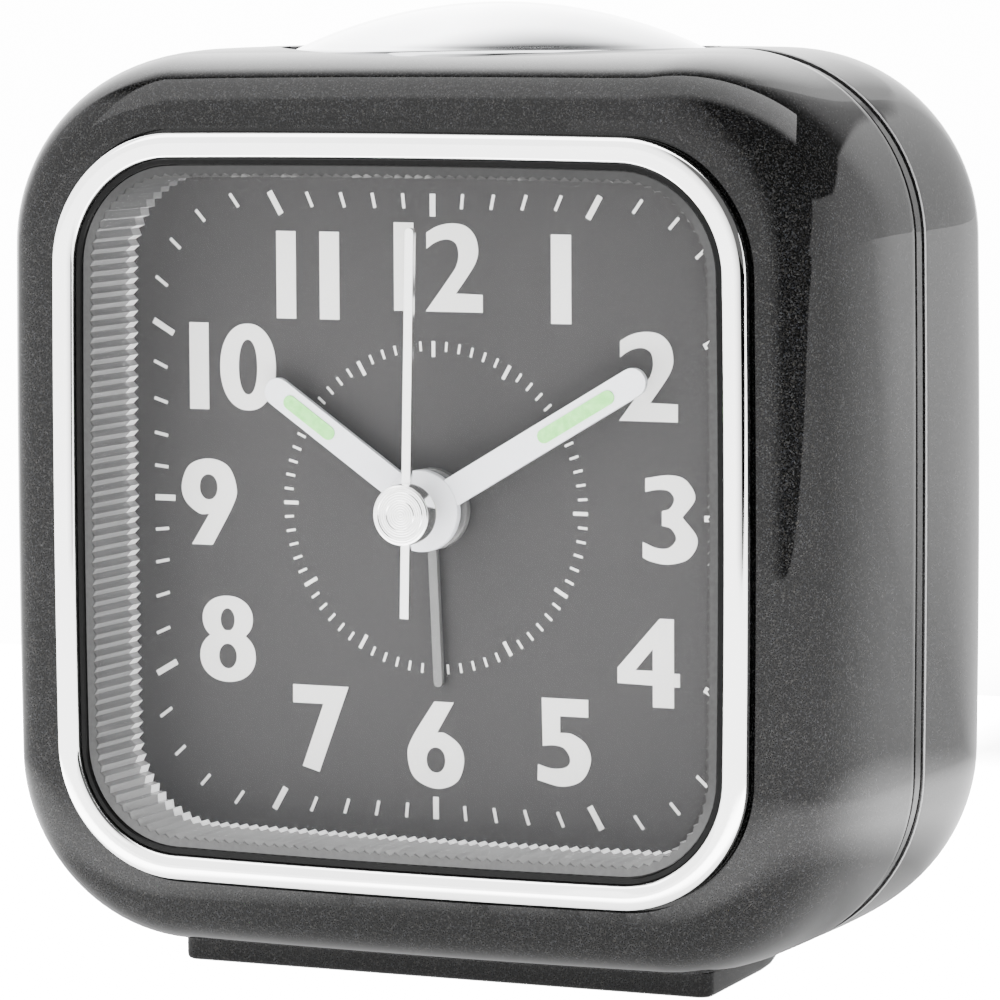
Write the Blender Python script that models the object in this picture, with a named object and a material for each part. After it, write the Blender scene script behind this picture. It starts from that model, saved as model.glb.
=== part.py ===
"""Square bedside alarm clock with hands, built piece by piece.

Frame: metres, +Z up, the dial faces -Y, +X is to the right of somebody reading the dial.
The origin is on the resting surface, under the middle of the clock's box.
Shapes are worked out in millimetres from the centre of the dial's front face
(x to the right, y towards the back, z up) and hang from the empty "dial_centre".
"""
from math import atan2, cos, pi, radians, sin, sqrt

import bmesh
import bpy
from mathutils import Vector

MM = 0.001
GAP = 0.3  # clearance between pieces that touch on the real clock

# Case: a square with big round corners, slightly bowed sides and a parting line round its middle
CASE_HALF = 36.9
CASE_CORNER = 15.0
CASE_BOW = 0.4
CASE_WALL = 1.8
OUTLINE_CORNER_STEPS = 6
FRONT_EDGE_Y = -7.2
SEAM_Y = 11.8
REAR_Y = 31.5
BEZEL_HALF = 30.7
REAR_FLAT_HALF = 31.0
PROFILE_POWER = 4.0
LIP_SETBACK = 0.6
LIP_END_Y = 14.0
GROUND_Z = -38.5

# Front: chrome ring, lens, clear wall round the dial, dial
RING_OUTER = 30.4
RING_INNER = 28.4
RING_CORNER = 10.5
RING_FRONT_Y = -8.4
RING_BACK_Y = -6.8
LENS_HALF = 27.9
LENS_FRONT_Y = -8.0
GUIDE_OUTER = 28.6
GUIDE_INNER = 26.8
GUIDE_FRONT_Y = -6.5
DIAL_HALF = 28.3
DIAL_THICK = 0.8

# Snooze button: an oval dome that stands in a well in the top of the case
BUTTON_Y = 13.4
BUTTON_HALF_X = 17.4
BUTTON_HALF_Y = 14.6
BUTTON_TOP_Z = 40.5
BUTTON_DOME_R = 40.5
BUTTON_SKIRT_Z = 34.2
BUTTON_WALL = 1.4
WELL_FLOOR_Z = 36.0
WELL_LAND = 0.8
STEM_END_Z = 26.3
STEM_R = 1.5
COLLAR_Z = 31.5

# Hands: name, length, tail length, width, middle of the blade in y, clockwise angle from 12
HAND_THICK = 0.5
HUB_R = 3.3
HOUR_HAND = ("hour_hand", 17.2, 0.0, 2.3, -2.65, -55.4)
MINUTE_HAND = ("minute_hand", 22.5, 0.0, 2.3, -4.15, 59.6)
ALARM_HAND = ("alarm_hand", 14.4, 0.0, 0.75, -1.25, 177.6)
SECOND_HAND = ("second_hand", 22.8, 8.4, 0.75, -5.2, 1.2)
SECOND_HUB_R = 2.45
SECOND_HUB_FRONT_Y = -6.4

# Arbors and tubes on the dial's axis, from the inside out: inner and outer radius
SECOND_ARBOR_R = 0.4
MINUTE_TUBE = (0.65, 0.95)
HOUR_TUBE = (1.2, 1.55)
ALARM_TUBE = (1.8, 2.15)
CENTRE_HOLE_R = 2.6

# Movement housing
HOUSING_HALF_X = 21.0
HOUSING_LOW_Z = -11.5
HOUSING_HIGH_Z = 20.0
HOUSING_WALL = 1.0
HOUSING_FRONT_Y = 1.1
HOUSING_FLOOR_Y = 2.3
HOUSING_BACK_Y = 17.5
PLATE_Y = (7.7, 8.6)
COVER_Y = (17.8, 18.8)
BOARD_Y = (19.6, 20.6)

# Levels of the toothed wheels, each (front, back)
ALARM_LEVEL = (2.8, 3.8)
HOUR_LEVEL = (4.3, 5.3)
MOTION_LEVEL = (5.9, 6.9)
CENTRE_LEVEL = (9.2, 10.0)
THIRD_LEVEL = (10.7, 11.5)
SECONDS_LEVEL = (12.1, 12.9)
ROTOR_LEVEL = (13.5, 14.3)

# Tooth counts and the distances between the axes that the teeth bridge
SECONDS_TEETH, INTER_PINION = 40, 8
INTER_TEETH, ROTOR_PINION = 36, 6
THIRD_TEETH, SECONDS_PINION = 45, 6
CENTRE_TEETH, THIRD_PINION = 48, 6
MOTION_TEETH, CANNON_PINION, KNOB_PINION = 36, 12, 12
HOUR_TEETH, MOTION_PINION = 40, 10
ALARM_TEETH, ALARM_PINION = 36, 18
INTER_DISTANCE = 6.24
ROTOR_DISTANCE = 5.46
THIRD_DISTANCE = 8.0
MOTION_DISTANCE = 7.2
KNOB_X = 14.4
INTER_ANGLE = 40.0
THIRD_ANGLE = 130.0
ARBOR_R = 0.45
ROTOR_R = 1.5

# Back of the clock
KNOB_R = 6.5
KNOB_Y = (31.9, 34.3)
SHAFT_R = 1.2
SHAFT_HOLE_R = 1.6
BATTERY_R = 7.1
BATTERY_Y = 22.2
BATTERY_Z = -20.4
BAY_HALF_X = 26.9
BAY_HALF_Z = 7.5
BAY_FRONT_Y = 14.6
BAY_WALL = 1.2
SLIDER_Z = -7.5
SLIDER_REST_X = -2.0
SOUNDER_Z = 16.0
SCREW_X = 27.5
SCREW_Z = (23.5, -8.0)
SCREW_SEAT_Y = 16.0

# Foot under the case
FOOT_HALF_X = 23.5
FOOT_FRONT_Y = 1.4
FOOT_BACK_Y = 26.0
FOOT_TAPER = 0.24
FOOT_CORNER = 3.5

DIAL_Y = -(RING_FRONT_Y + KNOB_Y[1]) / 2


# ---------------------------------------------------------------- scene and materials

def clear_scene():
    for old in list(bpy.data.objects):
        bpy.data.objects.remove(old, do_unlink=True)


def make_frame():
    frame = bpy.data.objects.new("dial_centre", None)
    frame.location = (0, DIAL_Y * MM, -GROUND_Z * MM)
    bpy.context.scene.collection.objects.link(frame)
    return frame


def material(name, colour, roughness, metallic=0.0, alpha=1.0):
    found = bpy.data.materials.get(name)
    if found:
        return found
    made = bpy.data.materials.new(name)
    made.use_nodes = True
    shader = made.node_tree.nodes["Principled BSDF"]
    shader.inputs["Base Color"].default_value = (*colour, 1)
    shader.inputs["Roughness"].default_value = roughness
    shader.inputs["Metallic"].default_value = metallic
    shader.inputs["Alpha"].default_value = alpha
    return made


def case_paint():
    return material("case_paint", (0.06, 0.06, 0.062), 0.25, 0.3)


def chrome():
    return material("chrome", (0.9, 0.9, 0.9), 0.06, 1.0)


def clear_plastic():
    return material("clear_plastic", (0.95, 0.95, 0.95), 0.05, 0.0, 0.3)


def dial_grey():
    return material("dial_grey", (0.16, 0.155, 0.15), 0.6)


def white_plastic():
    return material("white_plastic", (0.85, 0.86, 0.88), 0.4)


def grey_plastic():
    return material("grey_plastic", (0.35, 0.35, 0.36), 0.45)


def black_plastic():
    return material("black_plastic", (0.02, 0.02, 0.02), 0.45)


def natural_plastic():
    return material("natural_plastic", (0.75, 0.75, 0.7), 0.5)


def steel():
    return material("steel", (0.6, 0.6, 0.62), 0.3, 1.0)


def battery_can():
    return material("battery_can", (0.62, 0.62, 0.64), 0.35, 1.0)


def brass():
    return material("brass", (0.72, 0.55, 0.25), 0.3, 1.0)


def copper():
    return material("copper", (0.7, 0.32, 0.18), 0.35, 1.0)


def board_green():
    return material("board_green", (0.05, 0.22, 0.1), 0.5)


# ---------------------------------------------------------------- modelling tools

def add_object(name, mesh_builder, finish, origin=(0, 0, 0), smooth=True):
    """Link an object whose mesh, given in dial millimetres, is stored about its own origin."""
    bmesh.ops.remove_doubles(mesh_builder, verts=mesh_builder.verts, dist=1e-4)
    bmesh.ops.recalc_face_normals(mesh_builder, faces=mesh_builder.faces)
    bmesh.ops.translate(mesh_builder, verts=mesh_builder.verts, vec=-Vector(origin))
    bmesh.ops.scale(mesh_builder, verts=mesh_builder.verts, vec=(MM, MM, MM))
    mesh = bpy.data.meshes.new(name)
    mesh_builder.to_mesh(mesh)
    mesh_builder.free()
    mesh.materials.append(finish)
    if smooth:
        mesh.shade_smooth()
        mesh.set_sharp_from_angle(angle=radians(32))
    made = bpy.data.objects.new(name, mesh)
    made.location = Vector(origin) * MM
    made.parent = bpy.data.objects["dial_centre"]
    bpy.context.scene.collection.objects.link(made)
    return made


def bridge(mesh_builder, ring, following):
    """Join two loops of vertices; a loop of one vertex is a pole."""
    count = max(len(ring), len(following))
    for i in range(count):
        j = (i + 1) % count
        if len(ring) == 1:
            corners = (ring[0], following[j], following[i])
        elif len(following) == 1:
            corners = (ring[i], ring[j], following[0])
        else:
            corners = (ring[i], ring[j], following[j], following[i])
        mesh_builder.faces.new(corners)


def skin(name, loops, finish, wrap=False, origin=(0, 0, 0)):
    """Closed body over a row of loops: wrapped round into a ring, or capped at both ends."""
    builder = bmesh.new()
    rings = [[builder.verts.new(point) for point in loop] for loop in loops]
    for ring, following in zip(rings, rings[1:]):
        bridge(builder, ring, following)
    if wrap:
        bridge(builder, rings[-1], rings[0])
    else:
        for end in (rings[0], rings[-1]):
            if len(end) > 2:
                builder.faces.new(end)
    return add_object(name, builder, finish, origin)


def turned(name, profile, finish, centre=(0, 0), steps=20, wrap=False, origin=None):
    """Body turned about a line along y through centre; the profile is (radius, y) points."""
    loops = []
    for radius, y in profile:
        count = steps if radius > 0 else 1
        angles = [2 * pi * i / count for i in range(count)]
        loops.append([(centre[0] + radius * cos(a), y, centre[1] + radius * sin(a)) for a in angles])
    return skin(name, loops, finish, wrap, origin or (centre[0], 0, centre[1]))


def disc_profile(radius, y_front, y_back):
    return [(0, y_front), (radius, y_front), (radius, y_back), (0, y_back)]


def tube_profile(inner, outer, y_front, y_back):
    return [(inner, y_front), (outer, y_front), (outer, y_back), (inner, y_back)]


def plate(name, outlines, levels, finish, origin=(0, 0, 0)):
    """Flat plate between two y levels: the first outline is its edge, the others are holes."""
    builder = bmesh.new()
    for outline in outlines:
        corners = [builder.verts.new((x, levels[0], z)) for x, z in outline]
        for i, corner in enumerate(corners):
            builder.edges.new((corner, corners[(i + 1) % len(corners)]))
    bmesh.ops.triangle_fill(builder, use_beauty=True, use_dissolve=False, edges=builder.edges[:])
    sheet = bmesh.ops.extrude_face_region(builder, geom=builder.faces[:])
    moved = [item for item in sheet["geom"] if isinstance(item, bmesh.types.BMVert)]
    bmesh.ops.translate(builder, verts=moved, vec=(0, levels[1] - levels[0], 0))
    return add_object(name, builder, finish, origin)


def box(name, low, high, finish, origin=(0, 0, 0)):
    builder = bmesh.new()
    bmesh.ops.create_cube(builder, size=1.0)
    size = Vector(high) - Vector(low)
    bmesh.ops.scale(builder, verts=builder.verts, vec=size)
    bmesh.ops.translate(builder, verts=builder.verts, vec=(Vector(low) + Vector(high)) / 2)
    return add_object(name, builder, finish, origin, smooth=False)


def combine(target, tools, operation):
    """Join the tools into the target, or cut them out of it, and remove them."""
    for tool in tools:
        tool.hide_render = True
        tool.display_type = "WIRE"
        change = target.modifiers.new(tool.name, "BOOLEAN")
        change.operation = operation
        change.solver = "EXACT"
        change.object = tool
    bpy.context.view_layer.update()
    evaluated = target.evaluated_get(bpy.context.evaluated_depsgraph_get())
    mesh = bpy.data.meshes.new_from_object(evaluated)
    builder = bmesh.new()
    builder.from_mesh(mesh)
    bmesh.ops.remove_doubles(builder, verts=builder.verts, dist=2e-6)
    builder.to_mesh(mesh)
    builder.free()
    target.modifiers.clear()
    target.data = mesh
    finish = mesh.materials[0]
    mesh.materials.clear()
    mesh.materials.append(finish)
    for tool in tools:
        bpy.data.objects.remove(tool, do_unlink=True)
    return target


def fuse(target, *tools):
    return combine(target, tools, "UNION")


def cut(target, *tools):
    return combine(target, tools, "DIFFERENCE")


# ---------------------------------------------------------------- outlines

def circle(radius, centre=(0, 0), steps=24):
    angles = [2 * pi * i / steps for i in range(steps)]
    return [(centre[0] + radius * cos(a), centre[1] + radius * sin(a)) for a in angles]


def rectangle(x_low, x_high, z_low, z_high):
    return [(x_low, z_low), (x_high, z_low), (x_high, z_high), (x_low, z_high)]


def round_square(half, corner, bow=0.0, steps=OUTLINE_CORNER_STEPS):
    """Square with round corners whose sides swell outwards by bow at their middles."""
    straight = half - bow
    points = []
    for quarter in range(4):
        turn = quarter * pi / 2
        for step in range(steps + 1):
            angle = turn + step * pi / 2 / steps
            side = 1 if quarter in (0, 3) else -1
            rise = 1 if quarter in (0, 1) else -1
            x = side * (straight - corner) + corner * cos(angle)
            z = rise * (straight - corner) + corner * sin(angle)
            points.append((x, z))
        flat = straight - corner
        for share in (-1, 0, 1):
            along = flat * share / 2
            across = straight
            points.append([(-along, across), (-across, -along), (along, -across), (across, along)][quarter])
    swell = [(x + bow * (x / straight) * (1 - (z / straight) ** 2),
              z + bow * (z / straight) * (1 - (x / straight) ** 2)) for x, z in points]
    return swell


def corner_at(half):
    """Corner radius of the case where its half-width is half."""
    shrink = (CASE_CORNER - RING_CORNER) / (CASE_HALF - RING_OUTER)
    return CASE_CORNER - (CASE_HALF - half) * shrink


def case_loop(half, y):
    bow = CASE_BOW * half / CASE_HALF
    return [(x, y, z) for x, z in round_square(half, corner_at(half), bow)]


def swept_half(y, end_y, end_half, full_half):
    """Half-width of the case at y, on the curve from the parting line to a front or back edge."""
    share = abs(SEAM_Y - y) / abs(SEAM_Y - end_y)
    return end_half + (full_half - end_half) * (1 - min(share, 1) ** PROFILE_POWER) ** (1 / PROFILE_POWER)


def gear(teeth, module, centre, phase):
    """Pointed teeth with straight flanks and plenty of backlash; phase is one tooth's direction."""
    pitch_r = teeth * module / 2
    points = []
    for step in range(2 * teeth):
        radius = pitch_r + (0.75 if step % 2 == 0 else -1.25) * module
        angle = phase + step * pi / teeth
        points.append((centre[0] + radius * cos(angle), centre[1] + radius * sin(angle)))
    return points


def towards(start, end):
    """Direction of end seen from start, as an angle from +x."""
    return atan2(end[1] - start[1], end[0] - start[0])


def polar(distance, degrees, centre=(0, 0)):
    return (centre[0] + distance * cos(radians(degrees)), centre[1] + distance * sin(radians(degrees)))


def blade_outline(length, low, width, clockwise):
    """Hand with a round tip, from low (below its axis where negative) to the tip."""
    half = width / 2
    points = [(-half, low), (half, low)]
    for step in range(7):
        angle = step * pi / 6
        points.append((half * cos(angle), length - half + half * sin(angle)))
    turn = radians(-clockwise)
    return [(x * cos(turn) - z * sin(turn), x * sin(turn) + z * cos(turn)) for x, z in points]


AXIS = (0.0, 0.0)
INTER_AXIS = polar(INTER_DISTANCE, INTER_ANGLE)
ROTOR_AXIS = polar(ROTOR_DISTANCE, INTER_ANGLE, INTER_AXIS)
THIRD_AXIS = polar(THIRD_DISTANCE, THIRD_ANGLE)
MOTION_AXIS = (-MOTION_DISTANCE, 0.0)
TIME_KNOB_AXIS = (-KNOB_X, 0.0)
ALARM_KNOB_AXIS = (KNOB_X, 0.0)


# ---------------------------------------------------------------- case

def oval_cutter(name, half_x, half_y, z_low, z_high):
    loops = []
    for z in (z_low, z_high):
        angles = [2 * pi * i / 40 for i in range(40)]
        loops.append([(half_x * cos(a), BUTTON_Y + half_y * sin(a), z) for a in angles])
    return skin(name, loops, case_paint())


def button_well():
    """Cutters for the opening that the dome moves in and the sunk land round it."""
    hole_x = BUTTON_HALF_X + 0.4
    hole_y = BUTTON_HALF_Y + 0.4
    hole = oval_cutter("cut_well", hole_x, hole_y, 31.0, 45.0)
    land = oval_cutter("cut_land", hole_x + WELL_LAND, hole_y + WELL_LAND, WELL_FLOOR_Z, 45.0)
    return hole, land


def screw_axes():
    return [(side * SCREW_X, z) for z in SCREW_Z for side in (-1, 1)]


def front_case():
    outer_y = [SEAM_Y, 4.0, -0.5, -3.2, -5.0, -6.3, -7.0, FRONT_EDGE_Y]
    loops = [case_loop(swept_half(y, FRONT_EDGE_Y, BEZEL_HALF, CASE_HALF), y) for y in outer_y]
    inner = [(BEZEL_HALF, -6.5), (29.5, -6.5), (29.5, -4.6), (32.5, -4.2), (34.3, -2.0),
             (CASE_HALF - CASE_WALL, 1.5), (CASE_HALF - CASE_WALL, SEAM_Y)]
    loops += [case_loop(half, y) for half, y in inner]
    shell = skin("front_case", loops, case_paint(), wrap=True)
    posts = []
    for x, z in screw_axes():
        posts.append(turned("post", disc_profile(3.0, 1.6, 14.2), case_paint(), (x, z), 16))
        side = 1 if x > 0 else -1
        web = sorted((side * SCREW_X, side * 35.6))
        posts.append(box("web", (web[0], 1.9, z - 0.8), (web[1], 10.0, z + 0.8), case_paint()))
    fuse(shell, *posts)
    bores = [turned("bore", disc_profile(1.3, 5.0, 15.0), case_paint(), axis, 12) for axis in screw_axes()]
    return cut(shell, *bores, *button_well())


def rear_case():
    lip = CASE_HALF - LIP_SETBACK
    outside = [(34.8, 10.5), (34.8, SEAM_Y + GAP), (lip, SEAM_Y + GAP), (lip, LIP_END_Y)]
    outside += [(swept_half(y, REAR_Y, REAR_FLAT_HALF, CASE_HALF), y)
                for y in (LIP_END_Y + 0.2, 21.0, 25.5, 28.5, 30.2, 31.1, REAR_Y)]
    shell = skin("rear_case", [case_loop(half, y) for half, y in outside], case_paint())
    inside = [(33.2, 9.0), (33.2, 13.5), (34.9, 16.0), (34.6, 23.0), (33.0, 27.6),
              (29.0, REAR_Y - CASE_WALL)]
    cut(shell, skin("room", [case_loop(half, y) for half, y in inside], case_paint()))
    tray = box("tray", (-BAY_HALF_X - BAY_WALL, BAY_FRONT_Y - BAY_WALL, BATTERY_Z - BAY_HALF_Z - BAY_WALL),
               (BAY_HALF_X + BAY_WALL, REAR_Y - 1.0, BATTERY_Z + BAY_HALF_Z + BAY_WALL), case_paint())
    tubes = [turned("tube", disc_profile(3.9, SCREW_SEAT_Y - 1.5, REAR_Y - 1.0), case_paint(), axis, 16)
             for axis in screw_axes()]
    fuse(shell, tray, *tubes)
    cutters = [box("bay", (-BAY_HALF_X, BAY_FRONT_Y, BATTERY_Z - BAY_HALF_Z),
                   (BAY_HALF_X, REAR_Y + 1.0, BATTERY_Z + BAY_HALF_Z), case_paint())]
    for axis in screw_axes():
        cutters.append(turned("seat", disc_profile(2.9, SCREW_SEAT_Y, REAR_Y + 1), case_paint(), axis, 16))
        cutters.append(turned("pilot", disc_profile(1.5, 13.0, SCREW_SEAT_Y + 1), case_paint(), axis, 12))
    for axis in (TIME_KNOB_AXIS, ALARM_KNOB_AXIS):
        cutters.append(turned("hole", disc_profile(SHAFT_HOLE_R, 28.0, 33.0), case_paint(), axis, 16))
    cutters.append(box("slot", (-4.4, 28.0, SLIDER_Z - 1.7), (4.4, 33.0, SLIDER_Z + 1.7), case_paint()))
    for row in range(5):
        z = SOUNDER_Z + 2.8 * (row - 2)
        half = 8.0 - 1.2 * abs(row - 2)
        cutters.append(box("grille", (-half, 28.0, z - 0.6), (half, 33.0, z + 0.6), case_paint()))
    return cut(shell, *cutters, *button_well())


def trim_ring():
    section = [(RING_INNER, RING_BACK_Y), (RING_INNER, RING_FRONT_Y + 0.25),
               (RING_INNER + 0.3, RING_FRONT_Y), (RING_OUTER - 0.5, RING_FRONT_Y),
               (RING_OUTER, RING_FRONT_Y + 0.5), (RING_OUTER, RING_BACK_Y)]
    loops = []
    for half, y in section:
        corner = RING_CORNER - (RING_OUTER - half)
        loops.append([(x, y, z) for x, z in round_square(half, corner, 0.3)])
    return skin("trim_ring", loops, chrome(), wrap=True)


def lens():
    outline = round_square(LENS_HALF, RING_CORNER - (RING_OUTER - LENS_HALF), 0.3)
    return plate("lens", [outline], (LENS_FRONT_Y, RING_BACK_Y), clear_plastic())


def light_guide():
    outer = round_square(GUIDE_OUTER, RING_CORNER - (RING_OUTER - GUIDE_OUTER), 0.3)
    inner = round_square(GUIDE_INNER, RING_CORNER - (RING_OUTER - GUIDE_INNER), 0.3)
    return plate("light_guide", [outer, inner], (GUIDE_FRONT_Y, -GAP), clear_plastic())


def dial():
    outline = round_square(DIAL_HALF, RING_CORNER - (RING_OUTER - DIAL_HALF), 0.3)
    return plate("dial", [outline, circle(CENTRE_HOLE_R)], (0, DIAL_THICK), dial_grey())


def base_foot():
    rear_half = FOOT_HALF_X - FOOT_TAPER * (FOOT_BACK_Y - FOOT_FRONT_Y)
    corners = [(FOOT_HALF_X, FOOT_FRONT_Y), (rear_half, FOOT_BACK_Y)]
    corners += [(-x, y) for x, y in reversed(corners)]
    loops = []
    for z, inset in ((GROUND_Z, 0.5), (GROUND_Z + 0.5, 0.0), (-CASE_HALF - GAP, 0.0)):
        loop = []
        for i, (x, y) in enumerate(corners):
            side = 1 if x > 0 else -1
            back = 1 if y > FOOT_BACK_Y - 1 else -1
            centre_x = x - side * FOOT_CORNER
            centre_y = y - back * FOOT_CORNER
            for step in range(7):
                angle = radians(-90 * (1 - step / 6) + 90 * i)
                radius = FOOT_CORNER - inset
                loop.append((centre_x + radius * cos(angle), centre_y + radius * sin(angle), z))
        loops.append(loop)
    return skin("base_foot", loops, case_paint())


def case_screw(number, axis):
    head = [(0, SCREW_SEAT_Y + 2.1), (1.6, SCREW_SEAT_Y + 2.1), (2.4, SCREW_SEAT_Y + 1.5),
            (2.4, SCREW_SEAT_Y + GAP), (1.0, SCREW_SEAT_Y + GAP), (1.0, 7.0), (0, 6.2)]
    screw = turned(f"case_screw_{number}", head, steel(), axis, 12)
    slots = []
    for reach_x, reach_z in ((1.4, 0.25), (0.25, 1.4)):
        low = (axis[0] - reach_x, SCREW_SEAT_Y + 1.2, axis[1] - reach_z)
        high = (axis[0] + reach_x, SCREW_SEAT_Y + 3.0, axis[1] + reach_z)
        slots.append(box("driver", low, high, steel()))
    return cut(screw, *slots)


# ---------------------------------------------------------------- snooze button

def dome_height(x, y, radius):
    """Height of the dome over a point of its plan; the oval is a stretched circle."""
    stretch = BUTTON_HALF_X / BUTTON_HALF_Y
    reach = sqrt(x * x + (y * stretch) ** 2)
    return BUTTON_TOP_Z - BUTTON_DOME_R + sqrt(radius ** 2 - reach ** 2)


def dome_loop(share, radius=BUTTON_DOME_R, z=None):
    angles = [2 * pi * i / 30 for i in range(30)]
    loop = []
    for a in angles:
        x = BUTTON_HALF_X * share * cos(a)
        y = BUTTON_HALF_Y * share * sin(a)
        height = dome_height(x, y, radius) if z is None else z
        loop.append((x, BUTTON_Y + y, height))
    return loop


def snooze_button():
    inside = BUTTON_DOME_R - BUTTON_WALL
    thin = (BUTTON_HALF_X - BUTTON_WALL) / BUTTON_HALF_X
    loops = [[(0, BUTTON_Y, BUTTON_TOP_Z)]]
    loops += [dome_loop(share) for share in (0.25, 0.5, 0.75, 0.92, 0.985)]
    edge = dome_height(BUTTON_HALF_X, 0, BUTTON_DOME_R) - 0.35
    loops += [dome_loop(1.0, z=edge), dome_loop(1.0, z=BUTTON_SKIRT_Z), dome_loop(thin, z=BUTTON_SKIRT_Z)]
    loops += [dome_loop(thin, z=edge - 1.2)]
    loops += [dome_loop(share, inside) for share in (0.75, 0.4)]
    loops += [[(0, BUTTON_Y, BUTTON_TOP_Z - BUTTON_WALL)]]
    origin = (0, BUTTON_Y, BUTTON_SKIRT_Z)
    shell = skin("snooze_button", loops, chrome(), origin=origin)
    profile = [(0, STEM_END_Z), (STEM_R, STEM_END_Z), (STEM_R, COLLAR_Z), (3.6, COLLAR_Z),
               (3.6, COLLAR_Z + 0.8), (STEM_R, COLLAR_Z + 0.8), (STEM_R, 39.6), (0, 39.6)]
    stem_loops = []
    for radius, z in profile:
        count = 12 if radius > 0 else 1
        angles = [2 * pi * i / count for i in range(count)]
        stem_loops.append([(radius * cos(a), BUTTON_Y + radius * sin(a), z) for a in angles])
    return fuse(shell, skin("stem", stem_loops, chrome()))


def button_return_spring():
    """Open-ended compression spring round the button's stem."""
    turns, per_turn, wire, radius = 4, 12, 0.25, 2.7
    low, high = 25.3 + wire, COLLAR_Z - GAP - wire
    loops = []
    for i in range(turns * per_turn + 1):
        angle = 2 * pi * i / per_turn
        z = low + (high - low) * i / (turns * per_turn)
        loop = []
        for side in range(5):
            around = 2 * pi * side / 5
            reach = radius + wire * cos(around)
            loop.append((reach * cos(angle), BUTTON_Y + reach * sin(angle), z + wire * sin(around)))
        loops.append(loop)
    return skin("button_return_spring", loops, steel(), origin=(0, BUTTON_Y, low))


def snooze_switch():
    body = box("snooze_switch", (-3.0, BUTTON_Y - 3.0, 20.4), (3.0, BUTTON_Y + 3.0, 23.9), black_plastic())
    top = box("top", (-3.6, BUTTON_Y - 3.6, 23.5), (3.6, BUTTON_Y + 3.6, 24.9), black_plastic())
    return fuse(body, top)


# ---------------------------------------------------------------- hands

def hand(shape, hole_r, finish):
    """Blade and hub pressed on a tube whose axis is the dial's axis."""
    name, length, tail, width, y, clockwise = shape
    hub = turned(name, tube_profile(hole_r, HUB_R, y - 0.4, y + 0.4), finish, AXIS, 24, wrap=True,
                 origin=(0, y, 0))
    outline = blade_outline(length, hole_r + 0.5, width, clockwise)
    blade = plate("blade", [outline], (y - HAND_THICK / 2, y + HAND_THICK / 2), finish)
    return fuse(hub, blade)


def second_hand():
    name, length, tail, width, y, clockwise = SECOND_HAND
    profile = [(0, SECOND_HUB_FRONT_Y), (SECOND_HUB_R - 0.2, SECOND_HUB_FRONT_Y),
               (SECOND_HUB_R, SECOND_HUB_FRONT_Y + 0.2), (SECOND_HUB_R, -4.95), (0, -4.95)]
    hub = turned(name, profile, steel(), AXIS, 24, origin=(0, y, 0))
    outline = blade_outline(length, -tail, width, clockwise)
    blade = plate("blade", [outline], (y - 0.12, y + 0.12), steel())
    return fuse(hub, blade)


# ---------------------------------------------------------------- wheels

def toothed(name, teeth, module, centre, phase, levels, finish):
    outline = gear(teeth, module, centre, phase)
    loops = [[(x, y, z) for x, z in outline] for y in levels]
    return skin(name, loops, finish, origin=(centre[0], 0, centre[1]))


def mesh_module(distance, first, second):
    return 2 * distance / (first + second)


def on_arbor(name, centre, levels, finish, *wheels):
    """Arbor of a moving wheel with its wheels and pinions joined to it."""
    arbor = turned(name, disc_profile(ARBOR_R, *levels), finish, centre, 10)
    return fuse(arbor, *wheels)


def bore(radius):
    """Cutter for a hole along the dial's axis."""
    return turned("bore", disc_profile(radius, -10.0, 12.0), steel(), AXIS, 16)


def tube_wheel(name, radii, levels, finish, wheel):
    """Wheel fixed on a tube that turns about the dial's axis."""
    tube = turned(name, disc_profile(radii[1], *levels), finish, AXIS, 16)
    return cut(fuse(tube, wheel), bore(radii[0]))


def gap_phase(axis, mate, teeth):
    """Phase that puts a gap, not a tooth, in front of the mate's axis."""
    return towards(axis, mate) + pi / teeth


def motor_rotor():
    module = mesh_module(ROTOR_DISTANCE, INTER_TEETH, ROTOR_PINION)
    phase = gap_phase(ROTOR_AXIS, INTER_AXIS, ROTOR_PINION)
    pinion = toothed("pinion", ROTOR_PINION, module, ROTOR_AXIS, phase, ROTOR_LEVEL, natural_plastic())
    magnet = turned("magnet", disc_profile(ROTOR_R, 14.8, 16.6), steel(), ROTOR_AXIS, 16)
    return on_arbor("motor_rotor", ROTOR_AXIS, (13.2, 18.4), steel(), pinion, magnet)


def intermediate_wheel():
    outer = mesh_module(ROTOR_DISTANCE, INTER_TEETH, ROTOR_PINION)
    inner = mesh_module(INTER_DISTANCE, SECONDS_TEETH, INTER_PINION)
    wheel = toothed("wheel", INTER_TEETH, outer, INTER_AXIS, towards(INTER_AXIS, ROTOR_AXIS), ROTOR_LEVEL,
                    natural_plastic())
    pinion = toothed("pinion", INTER_PINION, inner, INTER_AXIS, gap_phase(INTER_AXIS, AXIS, INTER_PINION),
                     (SECONDS_LEVEL[0], ROTOR_LEVEL[0] + 0.2), natural_plastic())
    return on_arbor("intermediate_wheel", INTER_AXIS, (11.8, 14.9), natural_plastic(), wheel, pinion)


def seconds_wheel():
    outer = mesh_module(INTER_DISTANCE, SECONDS_TEETH, INTER_PINION)
    inner = mesh_module(THIRD_DISTANCE, THIRD_TEETH, SECONDS_PINION)
    wheel = toothed("wheel", SECONDS_TEETH, outer, AXIS, towards(AXIS, INTER_AXIS), SECONDS_LEVEL,
                    natural_plastic())
    pinion = toothed("pinion", SECONDS_PINION, inner, AXIS, gap_phase(AXIS, THIRD_AXIS, SECONDS_PINION),
                     (THIRD_LEVEL[0], SECONDS_LEVEL[0] + 0.2), natural_plastic())
    arbor = turned("seconds_wheel", disc_profile(SECOND_ARBOR_R, -4.65, 18.4), steel(), AXIS, 10)
    return fuse(arbor, wheel, pinion)


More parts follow.
